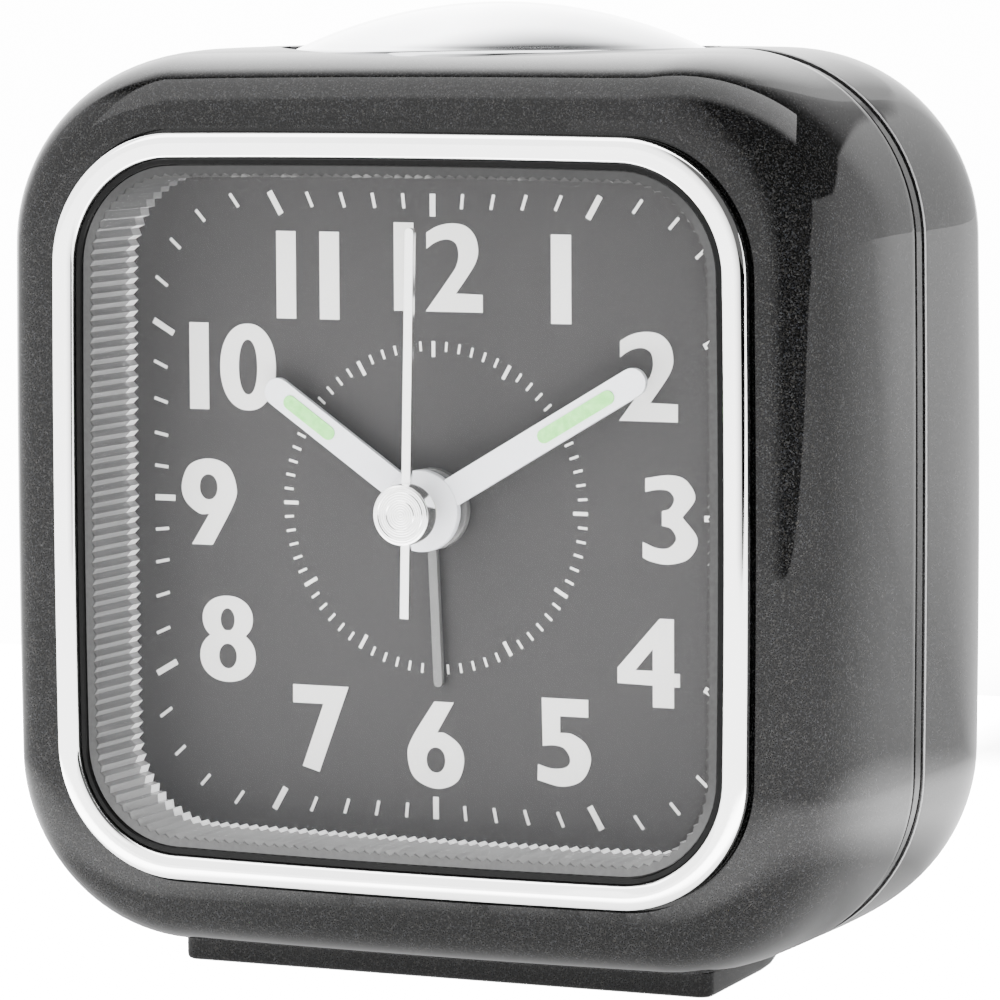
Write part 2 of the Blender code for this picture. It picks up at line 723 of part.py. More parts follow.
def third_wheel():
    outer = mesh_module(THIRD_DISTANCE, THIRD_TEETH, SECONDS_PINION)
    inner = mesh_module(THIRD_DISTANCE, CENTRE_TEETH, THIRD_PINION)
    wheel = toothed("wheel", THIRD_TEETH, outer, THIRD_AXIS, towards(THIRD_AXIS, AXIS), THIRD_LEVEL,
                    natural_plastic())
    pinion = toothed("pinion", THIRD_PINION, inner, THIRD_AXIS, gap_phase(THIRD_AXIS, AXIS, THIRD_PINION),
                     (CENTRE_LEVEL[0], THIRD_LEVEL[0] + 0.2), natural_plastic())
    return on_arbor("third_wheel", THIRD_AXIS, (8.0, 14.9), natural_plastic(), wheel, pinion)


def centre_wheel():
    module = mesh_module(THIRD_DISTANCE, CENTRE_TEETH, THIRD_PINION)
    wheel = toothed("centre_wheel", CENTRE_TEETH, module, AXIS, towards(AXIS, THIRD_AXIS), CENTRE_LEVEL,
                    natural_plastic())
    return cut(wheel, bore(MINUTE_TUBE[1] + GAP))


def cannon_pinion():
    module = mesh_module(MOTION_DISTANCE, MOTION_TEETH, CANNON_PINION)
    pinion = toothed("pinion", CANNON_PINION, module, AXIS, gap_phase(AXIS, MOTION_AXIS, CANNON_PINION),
                     MOTION_LEVEL, brass())
    return tube_wheel("cannon_pinion", MINUTE_TUBE, (-4.6, 10.2), brass(), pinion)


def minute_work_wheel():
    outer = mesh_module(MOTION_DISTANCE, MOTION_TEETH, CANNON_PINION)
    inner = mesh_module(MOTION_DISTANCE, HOUR_TEETH, MOTION_PINION)
    wheel = toothed("wheel", MOTION_TEETH, outer, MOTION_AXIS, towards(MOTION_AXIS, AXIS), MOTION_LEVEL,
                    natural_plastic())
    phase = gap_phase(MOTION_AXIS, AXIS, MOTION_PINION)
    pinion = toothed("pinion", MOTION_PINION, inner, MOTION_AXIS, phase,
                     (HOUR_LEVEL[0], MOTION_LEVEL[0] + 0.2), natural_plastic())
    return on_arbor("minute_work_wheel", MOTION_AXIS, (4.1, 8.4), natural_plastic(), wheel, pinion)


def hour_wheel():
    module = mesh_module(MOTION_DISTANCE, HOUR_TEETH, MOTION_PINION)
    wheel = toothed("wheel", HOUR_TEETH, module, AXIS, towards(AXIS, MOTION_AXIS), HOUR_LEVEL,
                    natural_plastic())
    return tube_wheel("hour_wheel", HOUR_TUBE, (-3.1, HOUR_LEVEL[1] + 0.1), natural_plastic(), wheel)


def alarm_wheel():
    module = mesh_module(KNOB_X, ALARM_TEETH, ALARM_PINION)
    wheel = toothed("wheel", ALARM_TEETH, module, AXIS, towards(AXIS, ALARM_KNOB_AXIS), ALARM_LEVEL,
                    natural_plastic())
    return tube_wheel("alarm_wheel", ALARM_TUBE, (-1.7, ALARM_LEVEL[1] + 0.1), natural_plastic(), wheel)


def knob(name, axis, teeth, module, phase, levels):
    """Setting knob outside the back, on a shaft that ends in a pinion inside the movement."""
    rim = []
    ridges = 24
    for i in range(ridges * 2):
        radius = KNOB_R if i % 2 else KNOB_R - 0.35
        angle = pi * i / ridges
        rim.append((axis[0] + radius * cos(angle), axis[1] + radius * sin(angle)))
    disc = plate(name, [rim], KNOB_Y, grey_plastic(), (axis[0], 0, axis[1]))
    shaft_profile = disc_profile(SHAFT_R, levels[0] - GAP, KNOB_Y[0] + 0.5)
    shaft = turned("shaft", shaft_profile, grey_plastic(), axis, 14)
    pinion = toothed("pinion", teeth, module, axis, phase, levels, grey_plastic())
    fuse(disc, shaft, pinion)
    grip_low = (axis[0] - KNOB_R * 0.55, KNOB_Y[0] + 1.2, axis[1] - 0.5)
    grip_high = (axis[0] + KNOB_R * 0.55, KNOB_Y[1] + 1.0, axis[1] + 0.5)
    return cut(disc, box("grip", grip_low, grip_high, grey_plastic()))


def time_set_knob():
    module = mesh_module(MOTION_DISTANCE, MOTION_TEETH, CANNON_PINION)
    return knob("time_set_knob", TIME_KNOB_AXIS, KNOB_PINION, module,
                gap_phase(TIME_KNOB_AXIS, MOTION_AXIS, KNOB_PINION), MOTION_LEVEL)


def alarm_set_knob():
    module = mesh_module(KNOB_X, ALARM_TEETH, ALARM_PINION)
    return knob("alarm_set_knob", ALARM_KNOB_AXIS, ALARM_PINION, module,
                gap_phase(ALARM_KNOB_AXIS, AXIS, ALARM_PINION), ALARM_LEVEL)


# ---------------------------------------------------------------- movement housing and electrics

def housing_outline(inset=0.0):
    return rectangle(-HOUSING_HALF_X + inset, HOUSING_HALF_X - inset,
                     HOUSING_LOW_Z + inset, HOUSING_HIGH_Z - inset)


def movement_housing():
    outside, inside = [housing_outline()], [housing_outline(HOUSING_WALL)]
    outer = plate("movement_housing", outside, (HOUSING_FRONT_Y, HOUSING_BACK_Y), white_plastic())
    room = plate("room", inside, (HOUSING_FLOOR_Y, HOUSING_BACK_Y + 1), white_plastic())
    hole = turned("hole", disc_profile(CENTRE_HOLE_R, 0, 3), white_plastic(), AXIS, 20)
    return cut(outer, room, hole)


def middle_plate():
    holes = [circle(MINUTE_TUBE[1] + GAP, AXIS, 16), circle(ARBOR_R + GAP, MOTION_AXIS, 12),
             circle(ARBOR_R + GAP, THIRD_AXIS, 12), circle(SHAFT_HOLE_R, TIME_KNOB_AXIS, 16),
             circle(SHAFT_HOLE_R, ALARM_KNOB_AXIS, 16)]
    return plate("middle_plate", [housing_outline(HOUSING_WALL + GAP), *holes], PLATE_Y, white_plastic())


def movement_cover():
    holes = [circle(ARBOR_R + GAP, AXIS, 12), circle(ARBOR_R + GAP, ROTOR_AXIS, 12),
             circle(SHAFT_HOLE_R, TIME_KNOB_AXIS, 16), circle(SHAFT_HOLE_R, ALARM_KNOB_AXIS, 16)]
    return plate("movement_cover", [housing_outline(), *holes], COVER_Y, white_plastic())


def motor_stator():
    outline = [(-11.5, 5.6), (12.5, 5.6), (12.5, 10.5), (9.5, 10.5), (9.5, 16.5), (7.3, 16.5), (7.3, 10.5),
               (-8.7, 10.5), (-8.7, 16.5), (-11.5, 16.5)]
    hole = circle(ROTOR_R + 0.4, (ROTOR_AXIS[0], ROTOR_AXIS[1]), 20)
    return plate("motor_stator", [outline, hole], (15.2, 16.0), steel())


def motor_coil():
    """Bobbin wound with wire, lying along x between the stator's legs."""
    profile = [(0.7, -8.2), (2.0, -8.2), (2.0, -7.6), (1.7, -7.6),
               (1.7, 6.2), (2.0, 6.2), (2.0, 6.8), (0.7, 6.8)]
    loops = []
    for radius, x in profile:
        angles = [2 * pi * i / 16 for i in range(16)]
        loops.append([(x, 15.6 + radius * cos(a), 13.7 + radius * sin(a)) for a in angles])
    return skin("motor_coil", loops, copper(), wrap=True, origin=(0, 15.6, 13.7))


def circuit_board():
    holes = [circle(SHAFT_HOLE_R, TIME_KNOB_AXIS, 16), circle(SHAFT_HOLE_R, ALARM_KNOB_AXIS, 16)]
    return plate("circuit_board", [rectangle(-20, 20, -10.5, 21.0), *holes], BOARD_Y, board_green())


def control_chip():
    return box("control_chip", (-3.0, BOARD_Y[1] + GAP, 1.0), (3.0, BOARD_Y[1] + 1.6, 6.0), black_plastic())


def quartz_crystal():
    loops = []
    for radius, z in ((0.6, 0.0), (1.0, 0.3), (1.0, 5.8), (0.6, 6.1)):
        angles = [2 * pi * i / 12 for i in range(12)]
        loops.append([(7.0 + radius * cos(a), BOARD_Y[1] + GAP + 1.0 + radius * sin(a), z) for a in angles])
    return skin("quartz_crystal", loops, steel())


def sounder():
    profile = [(0, 22.6), (9.0, 22.6), (9.0, 26.0), (8.4, 26.4), (1.5, 26.4), (1.2, 25.4), (0, 25.4)]
    return turned("sounder", profile, black_plastic(), (0, SOUNDER_Z), 28)


def dial_led():
    """Lamp that shines down into the clear wall round the dial."""
    loops = []
    for radius, z in ((0.8, 29.3), (1.3, 29.8), (1.5, 30.6), (1.5, 32.0)):
        angles = [2 * pi * i / 14 for i in range(14)]
        loops.append([(radius * cos(a), -2.4 + radius * sin(a), z) for a in angles])
    return skin("dial_led", loops, clear_plastic())


def slide_switch():
    low, high = (-6.0, BOARD_Y[1] + GAP, SLIDER_Z - 2.2), (6.0, 24.6, SLIDER_Z + 2.2)
    body = box("slide_switch", low, high, steel())
    slot = box("slot", (-4.6, 22.2, SLIDER_Z - 1.5), (4.6, 26.0, SLIDER_Z + 1.5), steel())
    return cut(body, slot)


def alarm_slide_knob():
    """Alarm on and off: a grip outside the back, a stem through its slot and into the switch."""
    x = SLIDER_REST_X
    origin = (x, 32.0, SLIDER_Z)
    grip = box("alarm_slide_knob", (x - 2.6, 31.9, SLIDER_Z - 2.4), (x + 2.6, 33.2, SLIDER_Z + 2.4),
               grey_plastic(), origin)
    stem = box("stem", (x - 2.0, 22.6, SLIDER_Z - 1.2), (x + 2.0, 32.2, SLIDER_Z + 1.2), grey_plastic())
    rib_low = (x - 0.4, 33.0, SLIDER_Z - 2.0)
    rib_high = (x + 0.4, 33.7, SLIDER_Z + 2.0)
    return fuse(grip, stem, box("rib", rib_low, rib_high, grey_plastic()))


# ---------------------------------------------------------------- battery

def battery_cell():
    profile = [(0, -25.6), (2.6, -25.6), (2.6, -24.3), (6.7, -24.3), (BATTERY_R, -23.9), (BATTERY_R, 23.9),
               (6.7, 24.3), (0, 24.3)]
    loops = []
    for radius, x in profile:
        count = 24 if radius > 0 else 1
        angles = [2 * pi * i / count for i in range(count)]
        loops.append([(x, BATTERY_Y + radius * cos(a), BATTERY_Z + radius * sin(a)) for a in angles])
    return skin("battery_cell", loops, battery_can(), origin=(0, BATTERY_Y, BATTERY_Z))


def battery_plus_contact():
    return box("battery_plus_contact", (-26.5, BATTERY_Y - 5.0, BATTERY_Z - 4.5),
               (-26.1, BATTERY_Y + 5.0, BATTERY_Z + 4.5), steel())


def battery_minus_spring():
    """Conical wire contact at the flat end of the cell."""
    turns, per_turn, wire = 2, 12, 0.25
    low, high = 24.9, 26.3
    loops = []
    for i in range(turns * per_turn + 1):
        share = i / (turns * per_turn)
        angle = 2 * pi * i / per_turn
        radius = 2.0 + 2.6 * share
        loop = []
        for side in range(5):
            around = 2 * pi * side / 5
            reach = radius + wire * cos(around)
            x = low + (high - low) * share + wire * sin(around)
            loop.append((x, BATTERY_Y + reach * cos(angle), BATTERY_Z + reach * sin(angle)))
        loops.append(loop)
    return skin("battery_minus_spring", loops, steel())


def battery_cover():
    """Lift-off lid of the battery bay, flush with the back of the case."""
    origin = (0, REAR_Y, BATTERY_Z)
    low = (-BAY_HALF_X + 0.4, REAR_Y - 1.6, BATTERY_Z - BAY_HALF_Z + 0.4)
    high = (BAY_HALF_X - 0.4, REAR_Y - 0.1, BATTERY_Z + BAY_HALF_Z - 0.4)
    lid = box("battery_cover", low, high, case_paint(), origin)
    grooves = []
    for row in range(3):
        z = BATTERY_Z + 5.4 - 1.2 * row
        grooves.append(box("groove", (-4, REAR_Y - 0.6, z - 0.3), (4, REAR_Y + 1, z + 0.3), case_paint()))
    return cut(lid, *grooves)


# ---------------------------------------------------------------- assembly

def build():
    clear_scene()
    make_frame()
    for piece in (front_case, rear_case, trim_ring, lens, light_guide, dial, base_foot):
        piece()
    for number, axis in enumerate(screw_axes(), start=1):
        case_screw(number, axis)
    for piece in (snooze_button, button_return_spring, snooze_switch):
        piece()
    hand(HOUR_HAND, HOUR_TUBE[1] + GAP, white_plastic())
    hand(MINUTE_HAND, MINUTE_TUBE[1] + GAP, white_plastic())
    hand(ALARM_HAND, ALARM_TUBE[1] + GAP, grey_plastic())
    second_hand()
    for piece in (motor_rotor, intermediate_wheel, seconds_wheel, third_wheel, centre_wheel, cannon_pinion,
                  minute_work_wheel, hour_wheel, alarm_wheel, time_set_knob, alarm_set_knob):
        piece()
    for piece in (movement_housing, middle_plate, movement_cover, motor_stator, motor_coil, circuit_board,
                  control_chip, quartz_crystal, sounder, dial_led, slide_switch, alarm_slide_knob):
        piece()
    for piece in (battery_cell, battery_plus_contact, battery_minus_spring, battery_cover):
        piece()


build()
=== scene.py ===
"""Looks of the bedside alarm clock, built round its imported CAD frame.

Shapes are worked out in millimetres from the centre of the dial's front face:
x to the right of the reader, y towards the back, z up, as in the CAD source.
"""
from math import atan2, cos, hypot, pi, radians, sin, sqrt

import bmesh
import bpy
from mathutils import Matrix, Vector
from mathutils.bvhtree import BVHTree

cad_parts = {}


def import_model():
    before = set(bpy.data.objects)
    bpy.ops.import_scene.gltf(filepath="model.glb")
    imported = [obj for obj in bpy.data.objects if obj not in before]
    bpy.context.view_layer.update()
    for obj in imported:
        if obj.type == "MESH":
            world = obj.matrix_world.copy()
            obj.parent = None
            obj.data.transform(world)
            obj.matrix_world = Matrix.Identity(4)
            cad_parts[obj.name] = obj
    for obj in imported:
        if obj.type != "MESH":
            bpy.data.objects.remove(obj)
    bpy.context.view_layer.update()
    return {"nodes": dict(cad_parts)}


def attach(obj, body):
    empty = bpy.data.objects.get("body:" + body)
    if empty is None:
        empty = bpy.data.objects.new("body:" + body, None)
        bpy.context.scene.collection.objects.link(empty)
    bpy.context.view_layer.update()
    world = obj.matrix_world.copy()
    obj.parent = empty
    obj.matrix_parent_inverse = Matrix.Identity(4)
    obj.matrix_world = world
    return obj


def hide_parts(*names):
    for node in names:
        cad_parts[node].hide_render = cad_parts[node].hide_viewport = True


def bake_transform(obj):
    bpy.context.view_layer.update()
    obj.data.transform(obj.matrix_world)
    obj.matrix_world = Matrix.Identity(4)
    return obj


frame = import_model()
NODES = frame["nodes"]

MM = 0.001
DIAL_Y = -12.95
DIAL_Z = 38.5

# Case and front, as in the CAD
CASE_HALF, CASE_CORNER, CASE_BOW = 36.9, 15.0, 0.4
BEZEL_HALF, FRONT_EDGE_Y, SEAM_Y, REAR_Y = 30.7, -7.2, 11.8, 31.5
LIP_HALF, LIP_END_Y, REAR_FLAT_HALF = 36.72, 14.0, 31.0
FRONT_POWER, REAR_POWER = 3.65, 5.0
RING_OUTER, RING_INNER, RING_CORNER = 30.4, 28.4, 10.5
RING_FRONT_Y, RING_BACK_Y = -8.4, -6.8
WALL_INNER, WALL_FRONT_Y = 26.8, -7.75
BUTTON_Y, BUTTON_HALF_X, BUTTON_HALF_Y = 13.4, 17.4, 14.6
BUTTON_TOP_Z, BUTTON_DOME_R, BUTTON_SKIRT_Z = 40.5, 40.5, 34.2
WELL_FLOOR_Z = 36.0
HOUR_LEVEL, MINUTE_LEVEL, ALARM_LEVEL, LUME_LIFT = -1.45, -2.4, -0.55, 0.25
HOUR_TURN, MINUTE_TURN, ALARM_TURN, SECOND_TURN = -55.4, 59.6, 177.6, 1.2
HAND_WIDTH, THIN_WIDTH, HUB_R, HIDDEN_HUB_R = 2.3, 0.75, 3.3, 2.8
SPRING_LOW_Z, SPRING_HIGH_Z = 25.55, 30.95
SCREWS = [(side * 27.5, z) for z in (23.5, -8.0) for side in (-1, 1)]
BATTERY_Y, BATTERY_Z, SLIDER_Z, SOUNDER_Z, KNOB_X = 22.2, -20.4, -7.5, 16.0, 14.4


# ---------------------------------------------------------------- mesh tools

def world(x, y, z):
    return Vector((x * MM, (y + DIAL_Y) * MM, (z + DIAL_Z) * MM))


def new_object(name, builder, looks):
    mesh = bpy.data.meshes.new(name)
    builder.to_mesh(mesh)
    builder.free()
    for look in looks:
        mesh.materials.append(look)
    piece = bpy.data.objects.new(name, mesh)
    bpy.context.scene.collection.objects.link(piece)
    return piece


def finish_piece(name, builder, look, body, replaces=(), smooth=35, bevel=0.0):
    """Mesh given in dial millimetres, turned into a piece that rides on a CAD body."""
    bmesh.ops.remove_doubles(builder, verts=builder.verts, dist=1e-5)
    bmesh.ops.recalc_face_normals(builder, faces=builder.faces)
    for vert in builder.verts:
        vert.co = world(*vert.co)
    piece = new_object(name, builder, look if isinstance(look, list) else [look])
    if smooth:
        piece.data.shade_smooth()
        piece.data.set_sharp_from_angle(angle=radians(smooth))
    if bevel:
        edge = piece.modifiers.new("edge", "BEVEL")
        edge.width = bevel * MM
        edge.segments = 3
        edge.limit_method = "ANGLE"
        edge.angle_limit = radians(40)
        edge.harden_normals = True
    if body:
        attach(piece, body)
    if replaces:
        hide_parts(*replaces)
    return piece


def bridge(builder, ring, following, index=0):
    count = max(len(ring), len(following))
    for i in range(count):
        j = (i + 1) % count
        if len(ring) == 1:
            corners = (ring[0], following[j], following[i])
        elif len(following) == 1:
            corners = (ring[i], ring[j], following[0])
        else:
            corners = (ring[i], ring[j], following[j], following[i])
        builder.faces.new(corners).material_index = index


def add_skin(builder, loops, wrap=False, capped=True, index=0):
    rings = [[builder.verts.new(point) for point in loop] for loop in loops]
    for ring, following in zip(rings, rings[1:]):
        bridge(builder, ring, following, index)
    if wrap:
        bridge(builder, rings[-1], rings[0], index)
    elif capped:
        for end in (rings[0], rings[-1]):
            if len(end) > 2:
                builder.faces.new(end).material_index = index
    return builder


def skin(loops, wrap=False, capped=True):
    return add_skin(bmesh.new(), loops, wrap, capped)


def turned(builder, profile, centre=(0, 0), steps=64, wrap=False, axis="y"):
    """Adds a body turned about a line along y (or along z) through centre."""
    loops = []
    for radius, along in profile:
        count = steps if radius > 0 else 1
        loop = []
        for i in range(count):
            a = 2 * pi * i / count
            u, v = centre[0] + radius * cos(a), centre[1] + radius * sin(a)
            loop.append((u, along, v) if axis == "y" else (u, v, along))
        loops.append(loop)
    return add_skin(builder, loops, wrap)


def add_plate(builder, outlines, front, back, index=0):
    """Adds a flat plate between two y levels: first outline its edge, the others holes."""
    sheet = bmesh.new()
    for outline in outlines:
        corners = [sheet.verts.new((x, front, z)) for x, z in outline]
        for i, corner in enumerate(corners):
            sheet.edges.new((corner, corners[(i + 1) % len(corners)]))
    bmesh.ops.triangle_fill(sheet, use_beauty=True, use_dissolve=False, edges=sheet.edges[:])
    grown = bmesh.ops.extrude_face_region(sheet, geom=sheet.faces[:])
    moved = [item for item in grown["geom"] if isinstance(item, bmesh.types.BMVert)]
    bmesh.ops.translate(sheet, verts=moved, vec=(0, back - front, 0))
    for face in sheet.faces:
        face.material_index = index
    carrier = bpy.data.meshes.new("carrier")
    sheet.to_mesh(carrier)
    sheet.free()
    builder.from_mesh(carrier)
    bpy.data.meshes.remove(carrier)
    return builder


def add_box(builder, low, high, index=0):
    corners = [builder.verts.new((x, y, z)) for x in (low[0], high[0]) for y in (low[1], high[1])
               for z in (low[2], high[2])]
    for picks in ((0, 1, 3, 2), (4, 6, 7, 5), (0, 4, 5, 1), (2, 3, 7, 6), (0, 2, 6, 4), (1, 5, 7, 3)):
        builder.faces.new([corners[i] for i in picks]).material_index = index
    return builder


def carve(piece, *cutters, operation="DIFFERENCE"):
    """Cuts solids, given as unridden pieces, out of a piece for good, or joins them to it."""
    for cutter in cutters:
        change = piece.modifiers.new("cut", "BOOLEAN")
        change.operation = operation
        change.solver = "EXACT"
        change.object = cutter
    bpy.context.view_layer.update()
    evaluated = piece.evaluated_get(bpy.context.evaluated_depsgraph_get())
    mesh = bpy.data.meshes.new_from_object(evaluated)
    piece.modifiers.clear()
    piece.data = mesh
    for cutter in cutters:
        bpy.data.objects.remove(cutter, do_unlink=True)
    return piece


# ---------------------------------------------------------------- outlines

def round_square(half, corner, bow=0.0, steps=24, flats=10):
    """Square with round corners whose sides swell outwards by bow at their middles."""
    straight = half - bow
    flat = straight - corner
    points = []
    for quarter in range(4):
        side = 1 if quarter in (0, 3) else -1
        rise = 1 if quarter in (0, 1) else -1
        for step in range(steps + 1):
            angle = quarter * pi / 2 + step * pi / 2 / steps
            points.append((side * flat + corner * cos(angle), rise * flat + corner * sin(angle)))
        for step in range(1, flats):
            along = flat * (2 * step / flats - 1)
            across = straight
            points.append([(-along, across), (-across, -along), (along, -across), (across, along)][quarter])
    return [(x + bow * (x / straight) * (1 - (z / straight) ** 2),
             z + bow * (z / straight) * (1 - (x / straight) ** 2)) for x, z in points]


def corner_at(half):
    shrink = (CASE_CORNER - RING_CORNER) / (CASE_HALF - RING_OUTER)
    return max(CASE_CORNER - (CASE_HALF - half) * shrink, half * 0.3)


def case_loop(half, y):
    return [(x, y, z) for x, z in round_square(half, corner_at(half), CASE_BOW * half / CASE_HALF)]


def ring_loop(half, y, steps=24):
    corner = RING_CORNER - (RING_OUTER - half)
    return [(x, y, z) for x, z in round_square(half, corner, 0.3, steps)]


def swept_half(y, end_y, end_half, power):
    share = min(abs(SEAM_Y - y) / abs(SEAM_Y - end_y), 1)
    return end_half + (CASE_HALF - end_half) * (1 - share ** power) ** (1 / power)


def swept_levels(start_y, end_y, count):
    """Levels that crowd towards the end, where the curve turns fastest."""
    levels = []
    for i in range(count + 1):
        share = sin(pi / 2 * i / count)
        levels.append(start_y + (end_y - start_y) * share)
    return levels


# ---------------------------------------------------------------- materials

class Look:
    """A material's node tree with short ways to add what this scene needs."""

    def __init__(self, name, colour, roughness, metallic=0.0, **values):
        self.material = bpy.data.materials.new(name)
        self.material.use_nodes = True
        self.tree = self.material.node_tree
        self.shader = self.tree.nodes["Principled BSDF"]
        self.set("Base Color", (*colour, 1))
        self.set("Roughness", roughness)
        self.set("Metallic", metallic)
        for socket, value in values.items():
            self.set(socket.replace("_", " "), value)
        self.place = self.add("ShaderNodeTexCoord").outputs["Object"]

    def set(self, socket, value):
        self.shader.inputs[socket].default_value = value

    def add(self, kind, **values):
        node = self.tree.nodes.new(kind)
        for key, value in values.items():
            if hasattr(node, key):
                setattr(node, key, value)
            else:
                node.inputs[key.replace("_", " ")].default_value = value
        return node

    def link(self, source, target):
        self.tree.links.new(source, target)
        return target.node

    def into(self, socket, source):
        self.link(source, self.shader.inputs[socket])

    def axes(self):
        """Object coordinates, one by one."""
        parts = self.add("ShaderNodeSeparateXYZ")
        self.link(self.place, parts.inputs[0])
        return parts.outputs

    def stretched(self, x, y, z):
        mapping = self.add("ShaderNodeMapping")
        mapping.inputs["Scale"].default_value = (x, y, z)
        self.link(self.place, mapping.inputs["Vector"])
        return mapping.outputs["Vector"]

    def noise(self, scale, detail=3.0, place=None):
        node = self.add("ShaderNodeTexNoise", Scale=scale, Detail=detail)
        self.link(place or self.place, node.inputs["Vector"])
        return node.outputs["Fac"]

    def ramp(self, source, *stops):
        """Colour ramp; each stop is (position, grey level or colour)."""
        node = self.add("ShaderNodeValToRGB")
        elements = node.color_ramp.elements
        while len(elements) < len(stops):
            elements.new(0.5)
        for element, (position, value) in zip(elements, stops):
            colour = value if isinstance(value, tuple) else (value, value, value)
            element.position = position
            element.color = (*colour, 1)
        self.link(source, node.inputs["Fac"])
        return node.outputs["Color"]

    def mixed(self, factor, first, second, blend="MIX"):
        node = self.add("ShaderNodeMix", data_type="RGBA", blend_type=blend)
        for index, value in ((0, factor), (6, first), (7, second)):
            if isinstance(value, (int, float)):
                node.inputs[index].default_value = value if index == 0 else (value, value, value, 1)
            elif isinstance(value, tuple):
                node.inputs[index].default_value = (*value, 1)
            else:
                self.link(value, node.inputs[index])
        return node.outputs[2]

    def bump(self, source, strength, distance):
        node = self.add("ShaderNodeBump", Strength=strength, Distance=distance)
        self.link(source, node.inputs["Height"])
        self.into("Normal", node.outputs["Normal"])


class Sums:
    """Short arithmetic on the sockets of a node tree."""

    def __init__(self, tree):
        self.tree = tree

    def __call__(self, operation, *values):
        node = self.tree.nodes.new("ShaderNodeMath")
        node.operation = operation
        for socket, value in zip(node.inputs, values):
            if isinstance(value, (int, float)):
                socket.default_value = value
            else:
                self.tree.links.new(value, socket)
        return node.outputs[0]

    def mix(self, share, first, second):
        return self("MULTIPLY_ADD", share, self("SUBTRACT", second, first), first)

    def rise(self, value, low, high):
        """Smooth step from 0 at low to 1 at high."""
        node = self.tree.nodes.new("ShaderNodeMapRange")
        node.interpolation_type = "SMOOTHSTEP"
        node.inputs["From Min"].default_value = low
        node.inputs["From Max"].default_value = high
        self.tree.links.new(value, node.inputs["Value"])
        return node.outputs["Result"]

    def table(self, value, low, high, top, *stops):
        """Value read from stops (position, level) between low and high, levels up to top."""
        ramp = self.tree.nodes.new("ShaderNodeValToRGB")
        elements = ramp.color_ramp.elements
        while len(elements) < len(stops):
            elements.new(0.5)
        for element, (position, level) in zip(elements, stops):
            element.position = (position - low) / (high - low)
            element.color = (level / top, level / top, level / top, 1)
        self.tree.links.new(self("DIVIDE", self("SUBTRACT", value, low), high - low), ramp.inputs["Fac"])
        return self("MULTIPLY", ramp.outputs["Color"], top)

    def bearing(self, x, y):
        """Direction round the clock in degrees: 0 in front, 90 on its right."""
        return self("MULTIPLY", self("ARCTAN2", x, self("MULTIPLY", y, -1.0)), 180 / pi)


def paint_look(name="charcoal_flake_paint", painted_highlight_y=None):
    """Charcoal base with fine metal flakes under a clear coat, with a painted highlight, a lighter band, on
    the edge at the y given.
    """
    look = Look(name, (0.006, 0.006, 0.006), 0.5, 0.0, Specular_IOR_Level=0.0,
                Coat_Weight=0.3, Coat_Roughness=0.02, Coat_IOR=1.5)
    shades = []
    for scale, stops in ((11500.0, ((0.0, 0.0005), (0.5, 0.0022), (0.8, 0.0052), (0.95, 0.012),
                                    (1.0, 0.026))),
                         (8600.0, ((0.0, 0.0), (0.6, 0.0008), (0.85, 0.0045), (1.0, 0.016)))):
        cells = look.add("ShaderNodeTexVoronoi", Scale=scale)
        look.link(look.place, cells.inputs["Vector"])
        parts = look.add("ShaderNodeSeparateColor")
        look.link(cells.outputs["Color"], parts.inputs["Color"])
        flakes = look.ramp(parts.outputs["Red"], *stops)
        tint = look.ramp(parts.outputs["Green"], (0.0, (0.8, 0.85, 1.0)), (0.5, (1.0, 1.0, 1.0)),
                         (1.0, (1.0, 0.93, 0.82)))
        shades.append(look.mixed(1.0, flakes, tint, "MULTIPLY"))
    cloud = look.ramp(look.noise(260.0, 2.0), (0.3, 0.85), (0.7, 1.1))
    colour = look.mixed(1.0, look.mixed(1.0, *shades, "ADD"), cloud, "MULTIPLY")
    # Painted highlight: a light grey band round the case at the given y, standing in for the light its
    # rounded edge catches.
    if painted_highlight_y is not None:
        sums = Sums(look.tree)
        away = sums("ABSOLUTE", sums("SUBTRACT", look.axes()["Y"], (painted_highlight_y + DIAL_Y) * MM))
        share = sums("SUBTRACT", 1.0, sums.rise(away, 0.07 * MM, 0.12 * MM))
        colour = look.mixed(share, colour, (0.26, 0.26, 0.262))
    look.into("Base Color", colour)
    return look.material


def chrome_look():
    look = Look("chrome_plate", (0.97, 0.972, 0.972), 0.05, 1.0)
    look.into("Roughness", look.ramp(look.noise(420.0), (0.3, 0.035), (0.7, 0.075)))
    look.into("Base Color", look.ramp(look.noise(90.0), (0.3, (0.955, 0.955, 0.95)),
                                      (0.7, (0.985, 0.985, 0.98))))
    return look.material


def clear_look():
    look = Look("clear_lens", (0.05, 0.052, 0.055), 0.02, 0.0, Alpha=0.035, IOR=1.3)
    look.into("Roughness", look.ramp(look.noise(150.0), (0.3, 0.015), (0.7, 0.04)))
    return look.material


